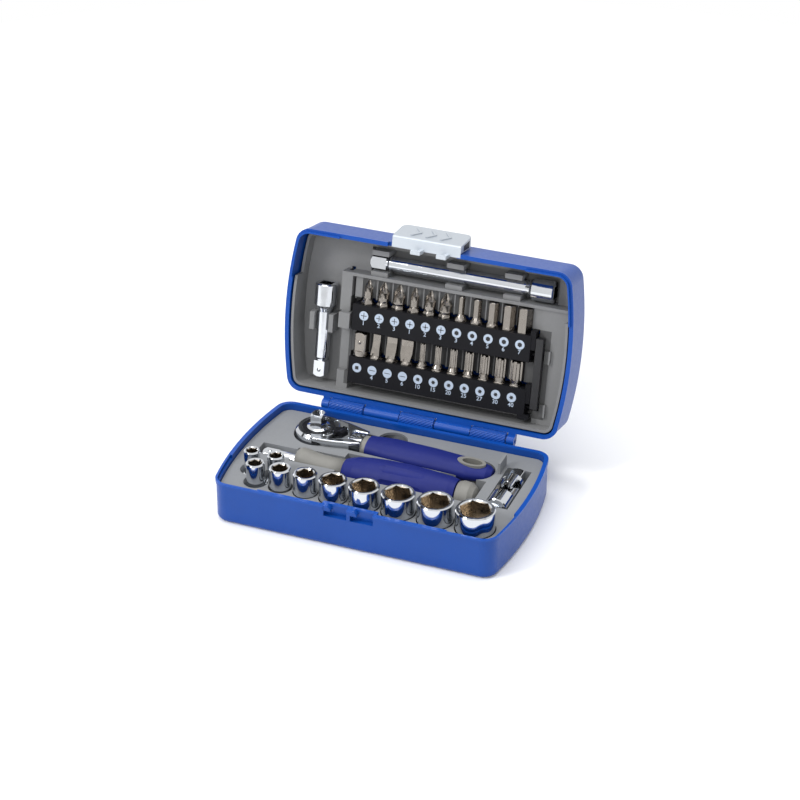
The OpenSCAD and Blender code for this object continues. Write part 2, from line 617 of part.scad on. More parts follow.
module bit_slot_5() { color(c_bit) in_rail(1, 2) slot_bit(5.5, 1); }
module bit_slot_6() { color(c_bit) in_rail(1, 3) slot_bit(6.5, 1.2); }
module bit_star_10() { color(c_bit) in_rail(1, 4) star_bit(2.8); }
module bit_star_15() { color(c_bit) in_rail(1, 5) star_bit(3.3); }
module bit_star_20() { color(c_bit) in_rail(1, 6) star_bit(3.9); }
module bit_star_25() { color(c_bit) in_rail(1, 7) star_bit(4.5); }
module bit_star_27() { color(c_bit) in_rail(1, 8) star_bit(5); }
module bit_star_30() { color(c_bit) in_rail(1, 9) star_bit(5.5); }
module bit_star_40() { color(c_bit) in_rail(1, 10) star_bit(6.6); }

// ---------- extension bars ----------
// female head at the bottom, male square at the top, length l
module extension(l, shaft_d) {
  difference() {
    union() {
      rotate_extrude() polygon([[0, 0], [ext_head_d/2 - 0.5, 0], [ext_head_d/2, 0.5], [ext_head_d/2, 11.5],
        [ext_head_d/2 - 1.2, 13], [shaft_d/2, 15.2], [shaft_d/2, l - 10.5], [shaft_d/2 - 0.8, l - 9.4],
        [shaft_d/2 - 0.8, l - 8], [0, l - 8]]);
      translate([0, 0, l - 8.6]) male_square(8.6);
      ball(l - 3.6);
    }
    translate([0, 0, -1]) sq(drive_af + 0.12, 9.5);
    for (a = [0, 90]) rotate([0, 0, a]) translate([0, 0, 4]) rotate([0, 90, 0])
      cylinder(d = 2.6, h = drive_af + 1.7, center = true, $fn = 24);
  }
}
module extension_short() {
  color(c_chrome) in_lid() translate([short_x, short_y0, base_h + short_n]) rotate([-90, 0, 0])
    rotate([0, 0, 90]) extension(short_l, short_shaft_d);
}
module extension_long() {
  color(c_chrome) in_lid() translate([long_x0 + long_l, long_y, base_h + long_n]) rotate([0, -90, 0])
    rotate([0, 0, 0]) extension(long_l, long_shaft_d);
}

// ---------- universal joint, lying along Y ----------
module fork(l) {
  // two cheeks reaching to the cross pins
  intersection() {
    cylinder(d = uj_d, h = l);
    for (s = [-1, 1]) translate([s*(3.35 + 2), 0, l/2]) cube([4, uj_d, l], center = true);
  }
}
module uj_socket_end() {
  color(c_chrome) translate([uj_x, uj_y, uj_z]) rotate([-90, 0, 0]) difference() {
    union() {
      rotate_extrude() polygon([[0, 0], [uj_d/2 - 0.5, 0], [uj_d/2, 0.5], [uj_d/2, 10.6], [uj_d/2 - 0.4, 11.2], [0, 11.2]]);
      translate([0, 0, 11]) rotate([0, 0, 0]) intersection() {
        fork(9.6);
        rotate([0, 90, 0]) union() {
          translate([-6, 0, 0]) cylinder(r = 3, h = 30, center = true);
          translate([-6, -3, -15]) cube([10, 6, 30]);
        }
      }
    }
    translate([0, 0, -1]) sq(drive_af + 0.12, 9.5);
    // throat the other fork swings into
    translate([-3.35, -7, 10.4]) cube([6.7, 14, 3]);
    translate([0, 0, 17]) rotate([0, 90, 0]) cylinder(d = 2.5, h = 30, center = true);
  }
}
module uj_cross() {
  color(c_chrome) translate([uj_x, uj_y + 17, uj_z]) {
    cube([5.4, 5.4, 5.4], center = true);
    rotate([0, 90, 0]) cylinder(d = 2.4, h = uj_d - 0.6, center = true);
    cylinder(d = 2.4, h = uj_d - 0.6, center = true);
  }
}
module uj_drive_end() {
  color(c_chrome) translate([uj_x, uj_y + 17, uj_z]) rotate([-90, 0, 0]) difference() {
    union() {
      intersection() {
        cylinder(d = uj_d, h = 20, center = true);
        union() {
          rotate([90, 0, 0]) cylinder(r = 3, h = uj_d, center = true);
          translate([-3, -uj_d/2, 0]) cube([6, uj_d, 7]);
        }
        for (s = [-1, 1]) translate([0, s*(3.35 + 2), 2]) cube([8, 4, 20], center = true);
      }
      translate([0, 0, 6.2]) rotate_extrude() polygon([[0, 0], [uj_d/2 - 0.3, 0], [uj_d/2, 0.4], [uj_d/2, 3], [4.6, 4.6], [0, 4.6]]);
      translate([0, 0, 10]) male_square(8.4);
      rotate([0, 0, 90]) ball(14.6);
    }
    rotate([90, 0, 0]) cylinder(d = 2.5, h = 30, center = true);
  }
}

// ---------- ratchet, lying nearly along X with the square up ----------
module at_ratchet() { translate([ratchet_x, ratchet_y, ratchet_z]) rotate([0, 0, ratchet_turn]) children(); }
module ratchet_body() {
  color(c_chrome) at_ratchet() difference() {
    union() {
      rotate_extrude() polygon([[0, -5.4], [ratchet_r - 1.4, -5.4], [ratchet_r, -4], [ratchet_r, 3.6], [ratchet_r - 1.4, 5], [0, 5]]);
      // teardrop shoulder holding the lever
      translate([0, 0, -5.4]) linear_extrude(10.2) polygon([[0, -ratchet_r + 0.8], [3, -ratchet_r + 0.9], [13, -8.2], [19, -4.6], [19, 4.6], [13, 8.2], [3, ratchet_r - 0.9], [0, ratchet_r - 0.8]]);
      rod_x(16, 26, 0, -0.4, 4.2);
      rod_x(24, core_end, 0, -0.6, 3);
    }
    // seat of the drive
    translate([0, 0, 2.6]) cylinder(r = 7.4, h = 5);
    translate([0, 0, -4]) cylinder(r = 6.1, h = 20);
    // seat of the lever
    translate([11.6, 0, 2.4]) cylinder(r = 3.2, h = 5);
    intersection() {
      translate([11.6, 0, 2.4]) cylinder(r = 5.4, h = 5);
      slab([11.6, -7, 2], [20, 7, 9]);
    }
    // screw seats
    for (s = [-1, 1]) translate([6.6, s*8.1, 3.4]) cylinder(r = 1.5, h = 5);
  }
}
module ratchet_screws() {
  color(c_chrome) at_ratchet() for (s = [-1, 1]) translate([6.6, s*8.1, 3.4]) difference() {
    cylinder(r = 1.5, h = 1.2);
    translate([0, 0, 0.6]) slab([-2, -0.25, 0], [2, 0.25, 2]);
  }
}
module ratchet_drive() {
  color(c_chrome) at_ratchet() {
    difference() {
      translate([0, 0, -3.6]) rotate_extrude() polygon([[0, 0], [5.8, 0], [5.8, 6.6], [7.1, 6.6], [7.1, 8], [6.5, 8.5], [4.6, 9.2], [0, 9.2]]);
      // ratchet teeth
      for (a = [0:12:348]) rotate([0, 0, a]) translate([6, 0, -3.7]) rotate([0, 0, 45]) cube([0.9, 0.9, 10], center = true);
    }
    translate([0, 0, 5]) male_square(7.8);
    rotate([0, 0, 200]) ball(9.6);
  }
}
module ratchet_lever() {
  color(c_black) at_ratchet() translate([11.6, 0, 2.7]) rotate([0, 0, -20]) {
    cylinder(r = 2.8, h = 3);
    difference() {
      slab([-1.2, -2.2, 0.2], [4.4, 2.2, 3.6]);
      translate([-2, -3, 2.2]) rotate([0, -18, 0]) cube([9, 6, 4]);
    }
  }
}
// elliptical grip section, half width a and half height b
module oval(a, b) { scale([a, b, 1]) circle(r = 1, $fn = 64); }
module grip_blank(dx, a, b, g) {
  // three stations joined: waist, belly, tail
  hull() {
    translate([29, 0, 0]) rotate([90, 0, 90]) linear_extrude(1) oval(a*0.82 - g, b*0.86 - g);
    translate([42, 0, 0]) rotate([90, 0, 90]) linear_extrude(22) oval(a - g, b - g);
    translate([84 + dx, 0, 0]) rotate([90, 0, 90]) linear_extrude(1) oval(a*0.9 - g, b*0.86 - g);
    translate([94 + dx, 0, 0]) rotate([90, 0, 90]) linear_extrude(1) oval(a*0.62 - g, b*0.7 - g);
    translate([97 + dx, 0, 0]) rotate([90, 0, 90]) linear_extrude(0.6) oval(a*0.34 - g, b*0.5 - g);
  }
}
module ratchet_grip() {
  color(c_grip) at_ratchet() difference() {
    grip_blank(0, grip_a, grip_b, 0);
    rod_x(20, core_end, 0, -0.6, 3);
    translate([86, 0, -10]) scale([7.7, 4, 1]) cylinder(r = 1, h = 20);
  }
}
module ratchet_collar() {
  color(c_soft) at_ratchet() translate([0, 0, -0.3]) difference() {
    translate([22.6, 0, 0]) rotate([0, 90, 0]) rotate([0, 0, 90]) linear_extrude(6.4) oval(6.4, 4.8);
    rod_x(10, 40, 0, -0.3, 3);
    rod_x(10, 26, 0, -0.1, 4.2);
  }
}
module ratchet_eye() {
  color(c_soft) at_ratchet() translate([86, 0, 0]) difference() {
    translate([0, 0, -5]) scale([7.7, 4, 1]) cylinder(r = 1, h = 10.2);
    translate([0.4, 0, -10]) scale([5.4, 2.5, 1]) cylinder(r = 1, h = 20);
  }
}

// ---------- spinner handle, lying along X ----------
module along_spin(x) { translate([x, spin_y, spin_z]) rotate([0, 90, 0]) children(); }
module spinner_shaft() {
  color(c_chrome) {
    along_spin(-58.5) rotate_extrude() polygon([[0, 0], [3.9, 0], [4.2, 0.4], [4.2, 10.6], [3, 10.6], [3, 60], [0, 60]]);
    along_spin(-58.3) rotate([0, 180, 0]) male_square(8.2);
    along_spin(-58.5) rotate([0, 180, 0]) rotate([0, 0, 0]) ball(4.4);
  }
}
module spinner_core() {
  color(c_soft) difference() {
    union() {
      along_spin(-48) rotate_extrude() polygon([[0, 0], [4.2, 0], [5.6, 1.6], [6.2, 5], [6, 12], [6, 26], [5, 26.8], [5, 88], [7.4, 88], [8.2, 90.5], [7.8, 94.5], [6, 97], [3, 98], [0, 98]]);
    }
    along_spin(-49) cylinder(r = 3, h = 50.5);
    along_spin(-49) cylinder(r = 4.3, h = 1.3);
  }
}
module spinner_grip() {
  color(c_grip) difference() {
    along_spin(-21.2) rotate_extrude() polygon([[5.06, 0], [6.8, 0], [7.6, 1.6], [8.9, 6], [9.9, 13], [spinner_r, 22], [spinner_r, 34],
      [9.9, 44], [9.3, 52], [8.9, 57], [8, 60.6], [5.06, 60.6]]);
    // eight finger flutes
    for (a = [22.5:45:360]) rotate([0, 0, 0]) along_spin(-6) rotate([0, 0, a]) translate([spinner_r + 5.2, 0, 0])
      rotate_extrude() polygon([[0, 0], [4.2, 0], [5.9, 8], [5.9, 28], [4.2, 38], [0, 38]]);
  }
}

case_base();
case_lid();
hinge_pin();
latch_slider();
base_inlay();
lid_inlay();
socket_05();
socket_055();
socket_06();
socket_07();
socket_08();
socket_10();
socket_11();
socket_12();
socket_13();
socket_14();
bit_rail_upper();
bit_rail_lower();
rail_link();
bit_cross_1();
bit_cross_2();
bit_cross_3();
bit_cross_4();
bit_cross_5();
bit_cross_6();
bit_hex_3();
bit_hex_4();
bit_hex_5();
bit_hex_6();
bit_hex_7();
bit_adaptor();
bit_slot_4();
bit_slot_5();
bit_slot_6();
bit_star_10();
bit_star_15();
bit_star_20();
bit_star_25();
bit_star_27();
bit_star_30();
bit_star_40();
extension_short();
extension_long();
uj_socket_end();
uj_cross();
uj_drive_end();
ratchet_body();
ratchet_screws();
ratchet_drive();
ratchet_lever();
ratchet_grip();
ratchet_collar();
ratchet_eye();
spinner_shaft();
spinner_core();
spinner_grip();
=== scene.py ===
# %% [markdown]
# # A socket wrench set in its case
# The frame is the imported model: every moulding, tool and bit is already a solid in its place.
# Blender adds what the solids can't say: the finish of each surface, the printed rails and the light.
# The box of the whole model is kept straight after loading.

# %% Load the frame
import json
import math

import bpy
import bmesh
from mathutils import Matrix, Vector


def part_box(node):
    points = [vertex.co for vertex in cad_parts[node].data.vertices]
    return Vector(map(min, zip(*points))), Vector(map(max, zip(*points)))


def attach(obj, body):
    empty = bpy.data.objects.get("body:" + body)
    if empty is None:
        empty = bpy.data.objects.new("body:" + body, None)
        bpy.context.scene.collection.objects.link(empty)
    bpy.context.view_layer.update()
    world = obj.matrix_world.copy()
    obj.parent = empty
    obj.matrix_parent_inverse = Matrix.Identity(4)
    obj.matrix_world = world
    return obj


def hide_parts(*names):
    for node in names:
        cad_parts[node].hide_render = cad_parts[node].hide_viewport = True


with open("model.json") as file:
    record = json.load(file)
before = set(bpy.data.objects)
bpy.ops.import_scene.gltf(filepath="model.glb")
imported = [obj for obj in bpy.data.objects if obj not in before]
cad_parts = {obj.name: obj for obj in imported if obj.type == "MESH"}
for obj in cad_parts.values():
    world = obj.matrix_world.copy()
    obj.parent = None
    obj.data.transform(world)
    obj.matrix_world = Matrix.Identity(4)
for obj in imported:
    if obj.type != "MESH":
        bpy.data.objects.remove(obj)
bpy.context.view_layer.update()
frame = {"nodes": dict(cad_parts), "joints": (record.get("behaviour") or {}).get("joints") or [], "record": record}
NODES = frame["nodes"]
JOINTS = {joint["name"]: joint for joint in frame["joints"]}
MM = 0.001
print("pieces in the frame:", len(NODES))

# %% [markdown]
# ## The open lid as a drawing board
# The lid leans back on its hinge, and all that it carries leans with it.
# It is easier to lay out the printing as if the lid were shut, and then to swing it up on the pin.
# One matrix does the swing, and its inverse says where a solid of the lid lies while it is shut.

# %% The lid's matrix
PIN = Vector(JOINTS["lid_hinge"]["pos_m"])
LEAN = math.radians(JOINTS["lid_hinge"]["range_deg"][0])
OPEN = Matrix.Translation(PIN) @ Matrix.Rotation(LEAN, 4, "X") @ Matrix.Translation(-PIN)
SHUT = OPEN.inverted()


def shut_box(node):
    """Lowest and highest corner of a lid's node while the lid is shut."""
    corners = [SHUT @ vertex.co for vertex in NODES[node].data.vertices]
    low = Vector([min(corner[axis] for corner in corners) for axis in range(3)])
    high = Vector([max(corner[axis] for corner in corners) for axis in range(3)])
    return low, high


print("the lid leans", round(math.degrees(LEAN), 1), "degrees about", tuple(round(v, 4) for v in PIN))

# %% [markdown]
# ## Maths that reads like maths
# A procedural finish is a small calculation: a noise here, a mask there, a blend of two colours.
# The nodes could be placed one by one, but the sums would be hard to follow.
# A thin wrapper round a socket lets Python's own signs add the Math nodes.

# %% A number in a finish
class Num:
    """A number or colour on its way through a finish."""

    def __init__(self, finish, socket):
        self.finish = finish
        self.socket = socket

    def maths(self, operation, a, b):
        return self.finish.add("ShaderNodeMath", {"operation": operation}, {0: a, 1: b})

    def __add__(self, other):
        return self.maths("ADD", self, other)

    def __radd__(self, other):
        return self.maths("ADD", other, self)

    def __sub__(self, other):
        return self.maths("SUBTRACT", self, other)

    def __rsub__(self, other):
        return self.maths("SUBTRACT", other, self)

    def __mul__(self, other):
        return self.maths("MULTIPLY", self, other)

    def __rmul__(self, other):
        return self.maths("MULTIPLY", other, self)

    def below(self, other):
        return self.maths("LESS_THAN", self, other)

    def above(self, other):
        return self.maths("GREATER_THAN", self, other)


# %% [markdown]
# ## One finish at a time
# Every finish here is a Principled shader with a few nodes in front of it, so they share one small class.
# It adds any node in one call, and reads where a point lies from the object's own coordinates.
# The pieces all stand at the origin, so those coordinates are the same for the whole set.

# %% A finish
class Finish:
    """A material built round one Principled shader, read in the object's own coordinates."""

    def __init__(self, name):
        self.material = bpy.data.materials.new(name)
        self.material.use_nodes = True
        self.tree = self.material.node_tree
        self.shader = self.tree.nodes["Principled BSDF"]
        self.place = self.add("ShaderNodeTexCoord", out="Object")

    def add(self, kind, settings=None, sockets=None, out=0):
        """Any node: its settings go first, then the values or links of its sockets."""
        node = self.tree.nodes.new(kind)
        for key, value in (settings or {}).items():
            if key == "stops":
                self.fill_ramp(node.color_ramp, value)
            else:
                setattr(node, key, value)
        for key, value in (sockets or {}).items():
            self.feed(node.inputs[key], value)
        return Num(self, node.outputs[out])

    def fill_ramp(self, ramp, stops):
        while len(ramp.elements) < len(stops):
            ramp.elements.new(0.5)
        for element, (at, level) in zip(ramp.elements, stops):
            element.position = at
            element.color = (level, level, level, 1)

    def feed(self, socket, value):
        if isinstance(value, Num):
            self.tree.links.new(value.socket, socket)
        else:
            socket.default_value = value

    def set(self, **looks):
        for key, value in looks.items():
            self.feed(self.shader.inputs[key.replace("_", " ")], value)

    def now(self, name):
        """What feeds an input of the shader so far."""
        return Num(self, self.shader.inputs[name].links[0].from_socket)

    def noise(self, scale, detail):
        sockets = {"Vector": self.place, "Scale": scale, "Detail": detail}
        return self.add("ShaderNodeTexNoise", {}, sockets)

    def ramp(self, value, *stops):
        return self.add("ShaderNodeValToRGB", {"stops": stops}, {"Fac": value})

    def blend(self, mask, first, second):
        """First colour where the mask is 0, second where it is 1."""
        sockets = {0: mask, 6: first, 7: second}
        return self.add("ShaderNodeMix", {"data_type": "RGBA"}, sockets, out=2)

    def xyz(self):
        split = self.tree.nodes.new("ShaderNodeSeparateXYZ")
        self.feed(split.inputs[0], self.place)
        return [Num(self, socket) for socket in split.outputs]

    def bump(self, height, strength, distance):
        sockets = {"Height": height, "Strength": strength, "Distance": distance}
        self.set(Normal=self.add("ShaderNodeBump", {}, sockets))


def shade(colour, by):
    """The colour made lighter or darker by a factor."""
    return (colour[0] * by, colour[1] * by, colour[2] * by, 1)


# %% [markdown]
# ## Moulded plastics
# The case, the trays, the rails and the grips are all injection mouldings, and differ in colour and grain.
# A mould is spark eroded, so its skin is a very fine pebble.
# Its colour drifts slowly where the plastic flowed.
# One recipe makes them all: two sizes of noise move the colour a little, a third varies the gloss,
# and the finest one gives the pebble.

# %% The recipe for a moulding
FLOW_SCALE = 45.0
PEBBLE = 0.00008
PLAIN_GLEAM = 0.5


def moulded(name, colour, rough, grain, relief, drift, coat=0.0, gleam=PLAIN_GLEAM):
    finish = Finish(name)
    flow = finish.noise(FLOW_SCALE, 2.0)
    speck = finish.noise(grain * 0.35, 2.0)
    tone = flow * 0.7 + speck * 0.3
    mask = finish.ramp(tone, (0.3, 0.0), (0.7, 1.0))
    finish.set(
        Base_Color=finish.blend(mask, shade(colour, 1 - drift), shade(colour, 1 + drift)),
        Roughness=rough - 0.08 + finish.noise(grain * 0.2, 2.0) * 0.16,
        Coat_Weight=coat,
        Specular_IOR_Level=gleam,
    )
    finish.bump(finish.noise(grain, 2.0), relief, PEBBLE)
    return finish


BLUE = (0.002, 0.053, 0.290)
tray_grey = moulded("tray_grey", (0.215, 0.222, 0.232), 0.6, 2200.0, 0.3, 0.05)
# Painted shade: the lid's grey is a little darker and less blue than the base's, for the shade the lid's trays lie
# in.
lid_tray_grey = moulded("lid_tray_grey", (0.205, 0.206, 0.208), 0.62, 2200.0, 0.3, 0.05)
rail_black = moulded("rail_black", (0.007, 0.007, 0.009), 0.42, 2000.0, 0.25, 0.15, gleam=0.16)
# Painted light: the link is a lighter copy of the rails' black, for the light that the link catches.
link_black_painted_lighter = moulded("link_black_painted_lighter", (0.020, 0.020, 0.022), 0.36, 2000.0, 0.25, 0.15, gleam=0.4)
grip_blue = moulded("grip_blue", (0.010, 0.017, 0.150), 0.50, 1700.0, 0.4, 0.07, gleam=0.2)
grip_grey = moulded("grip_grey", (0.205, 0.20, 0.183), 0.55, 1700.0, 0.35, 0.05)
print("mouldings so far: two trays, rails, link and two grips")

# %% [markdown]
# ## Silver of the latch
# The latch is a plastic moulding sprayed silver: part metal, part paint, with flakes that glint.
# A true metal would be too dark in the light of a studio, so the metal is mixed in only by a quarter.

# %% Silver paint
SILVER_LOW = (0.38, 0.41, 0.45, 1)
SILVER_HIGH = (0.48, 0.52, 0.56, 1)
PAINT_SKIN = 0.00006
latch_silver = Finish("latch_silver")
flakes = latch_silver.noise(7000.0, 1.0)
latch_silver.set(
    Base_Color=latch_silver.blend(flakes, SILVER_LOW, SILVER_HIGH),
    Metallic=0.25,
    Roughness=0.30 + flakes * 0.16,
    Coat_Weight=0.15,
)
latch_silver.bump(latch_silver.noise(2600.0, 2.0), 0.12, PAINT_SKIN)
print("silver paint made as", latch_silver.material.name)

# %% [markdown]
# ## Chrome and bare steel
# Chrome plate is nearly a mirror, and what makes it look real is what it mirrors and how it is smudged.
# Slow noise lifts the roughness in patches like finger marks, and a faint long wave bends the reflections.
# The bits aren't chromed but satin nickel, so they take the same recipe, rougher, darker and warmer.

# %% Plate, nickel and pin
MARK_SCALE = 220.0
DRAWN_SCALE = 1500.0
WAVE_SCALE = 160.0
WAVE_DEPTH = 0.0002


def metal(name, colour, rough, smudge, wave=0.03, drift=0.04):
    finish = Finish(name)
    marks = finish.ramp(finish.noise(MARK_SCALE, 4.0), (0.42, 0.0), (0.66, 1.0))
    drawn = finish.noise(DRAWN_SCALE, 2.0)
    finish.set(
        Base_Color=finish.blend(drawn, shade(colour, 1 - drift), shade(colour, 1 + drift)),
        Metallic=1.0,
        Roughness=rough + marks * smudge + drawn * smudge * 0.5,
    )
    finish.bump(finish.noise(WAVE_SCALE, 2.0) + drawn * 0.1, wave, WAVE_DEPTH)
    return finish


CHROME = (0.61, 0.63, 0.66)
polished_chrome = metal("polished_chrome", CHROME, 0.05, 0.07)
bit_steel = metal("bit_steel", (0.285, 0.262, 0.238), 0.17, 0.10, 0.035, 0.07)
pin_steel = metal("pin_steel", (0.55, 0.55, 0.56), 0.22, 0.10)
print("metals: chrome plate, satin nickel and pin steel")

# %% [markdown]
# ## Inside a socket
# The outside of a socket is plated, but plating hardly reaches into the hexagon.
# That stays the brown of nickel.
# The two could be split into two materials on separate faces; here one finish measures how far a point
# is from the axis.
# Whatever lies within the corners of the hexagon and below the rim is brown and rougher.

# %% Plated outside, brown inside
CORNER_ROOM = 0.12 * MM
PLATED_RIM = 0.45 * MM
BROWN_LOW = (0.36, 0.315, 0.26, 1)
BROWN_HIGH = (0.50, 0.44, 0.365, 1)


def socket_finish(node, across):
    finish = metal("plated_" + node, CHROME, 0.05, 0.07)
    low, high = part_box(node)
    centre = (low + high) / 2
    x, y, z = finish.xyz()
    away = (x - centre.x) * (x - centre.x) + (y - centre.y) * (y - centre.y)
    corner = across / math.sqrt(3) * MM + CORNER_ROOM
    inside = away.below(corner * corner) * z.below(high.z - PLATED_RIM)
    brown = finish.blend(finish.noise(240.0, 2.0), BROWN_LOW, BROWN_HIGH)
    finish.set(
        Base_Color=finish.blend(inside, finish.now("Base Color"), brown),
        Roughness=finish.now("Roughness") + inside * 0.14,
    )
    return finish


# %% [markdown]
# ## Painted highlight on the rims, painted shade in the bit bay
# Both rims of the case are painted brighter than its walls: a painted highlight for the bright edge that light
# gives a thin rim of coloured plastic.
# The bay behind the bits is the opposite: deep and narrow, its grey is darkened between the ribs with painted
# shade.
# Both are masks over where a point lies, read as if the lid were shut.

# %% Tint by place
def shut_height(finish, row):
    """The y (row 1) or z (row 2) that a point of the lid has while the lid is shut."""
    y, z = finish.xyz()[1:]
    return y * SHUT[row][1] + z * SHUT[row][2] + SHUT[row][3]


def tinted(finish, mask, by):
    """Multiplies the finish's colour by a factor where the mask is 1."""
    settings = {"data_type": "RGBA", "blend_type": "MULTIPLY"}
    sockets = {0: 1.0, 6: finish.now("Base Color"), 7: 1 + mask * (by - 1)}
    finish.set(Base_Color=finish.add("ShaderNodeMix", settings, sockets, out=2))


# %% Painted highlights on the rims
# Painted highlights: how far the bright band of each rim reaches, and by how much its colour is raised.
RIM_DEPTH = 1.1 * MM
RIM_PAINTED_HIGHLIGHT = 1.22
LATCH_RIM = 0.32 * MM
LATCH_PAINTED_HIGHLIGHT = 1.3


def case_moulding(name):
    """The blue of the case, made once for each half, because the painted highlights on their rims lie in different
    places.
    """
    return moulded(name, BLUE, 0.34, 2600.0, 0.22, 0.06, coat=0.05, gleam=0.30)


base_blue = case_moulding("base_blue")
# Painted highlight: the base's blue is made brighter along the top of its rim.
tinted(base_blue, base_blue.xyz()[2].above(PIN.z - RIM_DEPTH), RIM_PAINTED_HIGHLIGHT)
case_blue = case_moulding("case_blue")
# Painted highlight: the lid's blue is made brighter along its rim.
tinted(case_blue, shut_height(case_blue, 2).below(PIN.z + RIM_DEPTH), RIM_PAINTED_HIGHLIGHT)
# Painted highlight: the silver is made brighter along the latch's lowest edge.
tinted(latch_silver, shut_height(latch_silver, 2).below(PIN.z + LATCH_RIM), LATCH_PAINTED_HIGHLIGHT)
print("the rims are bright for", round(RIM_DEPTH / MM, 1), "mm")

# %% Painted shade in the bay
BAY_PAINTED_SHADE = 0.36
BAY_FRONT = 6.0 * MM
BAY_SIDE = 0.5 * MM
upper_low, upper_high = shut_box("bit_rail_upper")
lower_low, lower_high = shut_box("bit_rail_lower")
bay_low = min(lower_low.y, upper_low.y)
bay_high = max(lower_high.y, upper_high.y)
across = lid_tray_grey.xyz()[0]
along = shut_height(lid_tray_grey, 1)
wide = across.above(upper_low.x - BAY_SIDE) * across.below(upper_high.x + BAY_SIDE)
tall = along.above(bay_low) * along.below(bay_high)
deep = shut_height(lid_tray_grey, 2).above(PIN.z + BAY_FRONT)
# Painted shade: the lid tray's grey is darkened deep in the bay behind the rails.
tinted(lid_tray_grey, wide * tall * deep, BAY_PAINTED_SHADE)
print("the bit bay is shaded over", round((bay_high - bay_low) / MM, 1), "mm")

# %% [markdown]
# ## Every solid gets its finish
# The imported model says which kind of surface each solid has, so most finishes are handed out by that name.
# Each socket has its own, since its hexagon has its own place and width.
# The base, whose painted rim highlight lies in another place, and the link between the rails, painted a lighter
# black for the light it catches, are the other exceptions.

# %% Dress every solid
SLOT_FINISH = {
    "case_blue": case_blue,
    "tray_grey": tray_grey,
    "lid_tray_grey": lid_tray_grey,
    "pin_steel": pin_steel,
    "latch_silver": latch_silver,
    "polished_chrome": polished_chrome,
    "rail_black": rail_black,
    "bit_steel": bit_steel,
    "grip_blue": grip_blue,
    "grip_grey": grip_grey,
}
ACROSS = {"socket_05": 5, "socket_055": 5.5}
ACROSS.update({"socket_%02d" % size: size for size in (6, 7, 8, 10, 11, 12, 13, 14)})

for part in frame["record"]["subparts"]:
    solid = NODES[part["node"]]
    if part["node"] in ACROSS:
        finish = socket_finish(part["node"], ACROSS[part["node"]])
    elif part["node"] == "case_base":
        finish = base_blue
    elif part["node"] == "rail_link":
        finish = link_black_painted_lighter
    else:
        finish = SLOT_FINISH[part["material_slot"]]
    solid.data.materials.clear()
    solid.data.materials.append(finish.material)

# %% [markdown]
# ## Cross-headed bits
# A cross-headed bit is ground from a round blank: four valleys run up its nose and leave four wings.
# The valleys start from nothing and grow deeper towards the tip, which is more than a plain cone can say.
# Each bit is a stack of rings.
# On its nose, a ring is a circle with four dents as deep as its height asks for.
# Three small helpers come first, because the later pieces need them too.

# %% Pieces from meshes
def placed(name, data):
    """A new object in the scene round a mesh, a curve, a lamp or a camera."""
    holder = bpy.data.objects.new(name, data)
    bpy.context.scene.collection.objects.link(holder)
    return holder


def piece_from(shape, name, place, material):
    """Turns a bmesh into a piece with one finish and moves its mesh to its place."""
    mesh = bpy.data.meshes.new(name)
    shape.to_mesh(mesh)
    shape.free()
    mesh.transform(place)
    mesh.materials.append(material)
    return placed(name, mesh)


def skin(shape, rings):
    """Joins each ring of vertices to the next with four-sided faces."""
    for below, above in zip(rings, rings[1:]):
        for k in range(len(below)):
            after = (k + 1) % len(below)
            shape.faces.new((below[k], below[after], above[after], above[k]))


# %% Build the cross bits
BIT_SHANK = 6.35 * MM / 2
SHANK_CORNER = 1.12
CHAMFER = 0.7 * MM
SHANK_END = 13.0 * MM
TAPER_END = 14.3 * MM
ROUND_START = 15.4 * MM
NOSE_STEPS = 12
TIP_SHARE = 0.22
VALLEY_DEPTH = 0.56
RING = 64


def hexagon_reach(angle, half_flat):
    """Distance from the middle of a hexagon to its edge."""
    return half_flat / math.cos((angle + math.radians(30)) % math.radians(60) - math.radians(30))


def shank_reach(angle, radius, share, six):
    """Hexagon with its corners turned off, blended towards the round blank as six falls from 1."""
    corner = min(hexagon_reach(angle, BIT_SHANK), BIT_SHANK * SHANK_CORNER) * share
    return corner * six + radius * (1 - six)


def nose_reach(angle, radius, slope, depth):
    """Round nose that narrows with its slope, with four valleys cut in it."""
    whole = radius * (1 - slope) + TIP_SHARE * radius * slope
    valley = abs(math.sin(2 * angle)) ** 0.8
    return whole * (1 - VALLEY_DEPTH * min(1.0, depth * 1.35) * valley)


def cross_bit(node, radius):
    """Ground nose on a hexagonal shank, in the place of the plain solid."""
    low, high = shut_box(node)
    length = high.y - low.y
    nose = radius * 1.75
    grind = length - nose * 1.55
    levels = [
        (0.0, 0.86, 1, 0), (CHAMFER, 1.0, 1, 0), (SHANK_END, 1.0, 1, 0),
        (TAPER_END, 0.8, 0.6, 0), (ROUND_START, 0, 0, 0), (grind, 0, 0, 0),
    ]
    for k in range(1, NOSE_STEPS + 1):
        levels.append((grind + (length - grind) * k / NOSE_STEPS, 0, 0, k / NOSE_STEPS))
    shape = bmesh.new()
    rings = []
    for height, share, six, depth in levels:
        slope = max(0.0, (height - (length - nose)) / nose)
        ring = []
        for k in range(RING):
            angle = math.tau * k / RING
            if six:
                reach = shank_reach(angle, radius, share, six)
            else:
                reach = nose_reach(angle, radius, slope, depth)
            ring.append(shape.verts.new((reach * math.cos(angle), reach * math.sin(angle), height)))
        rings.append(ring)
    skin(shape, rings)
    shape.faces.new(list(reversed(rings[0])))
    shape.faces.new(rings[-1])
    centre = (low + high) / 2
    seat = Matrix.Translation((centre.x, high.y, centre.z))
    place = OPEN @ seat @ Matrix.Rotation(math.radians(90), 4, "X")
    piece = piece_from(shape, node + "_ground", place, bit_steel.material)
    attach(piece, "upper_rail")
    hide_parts(node)
    return length


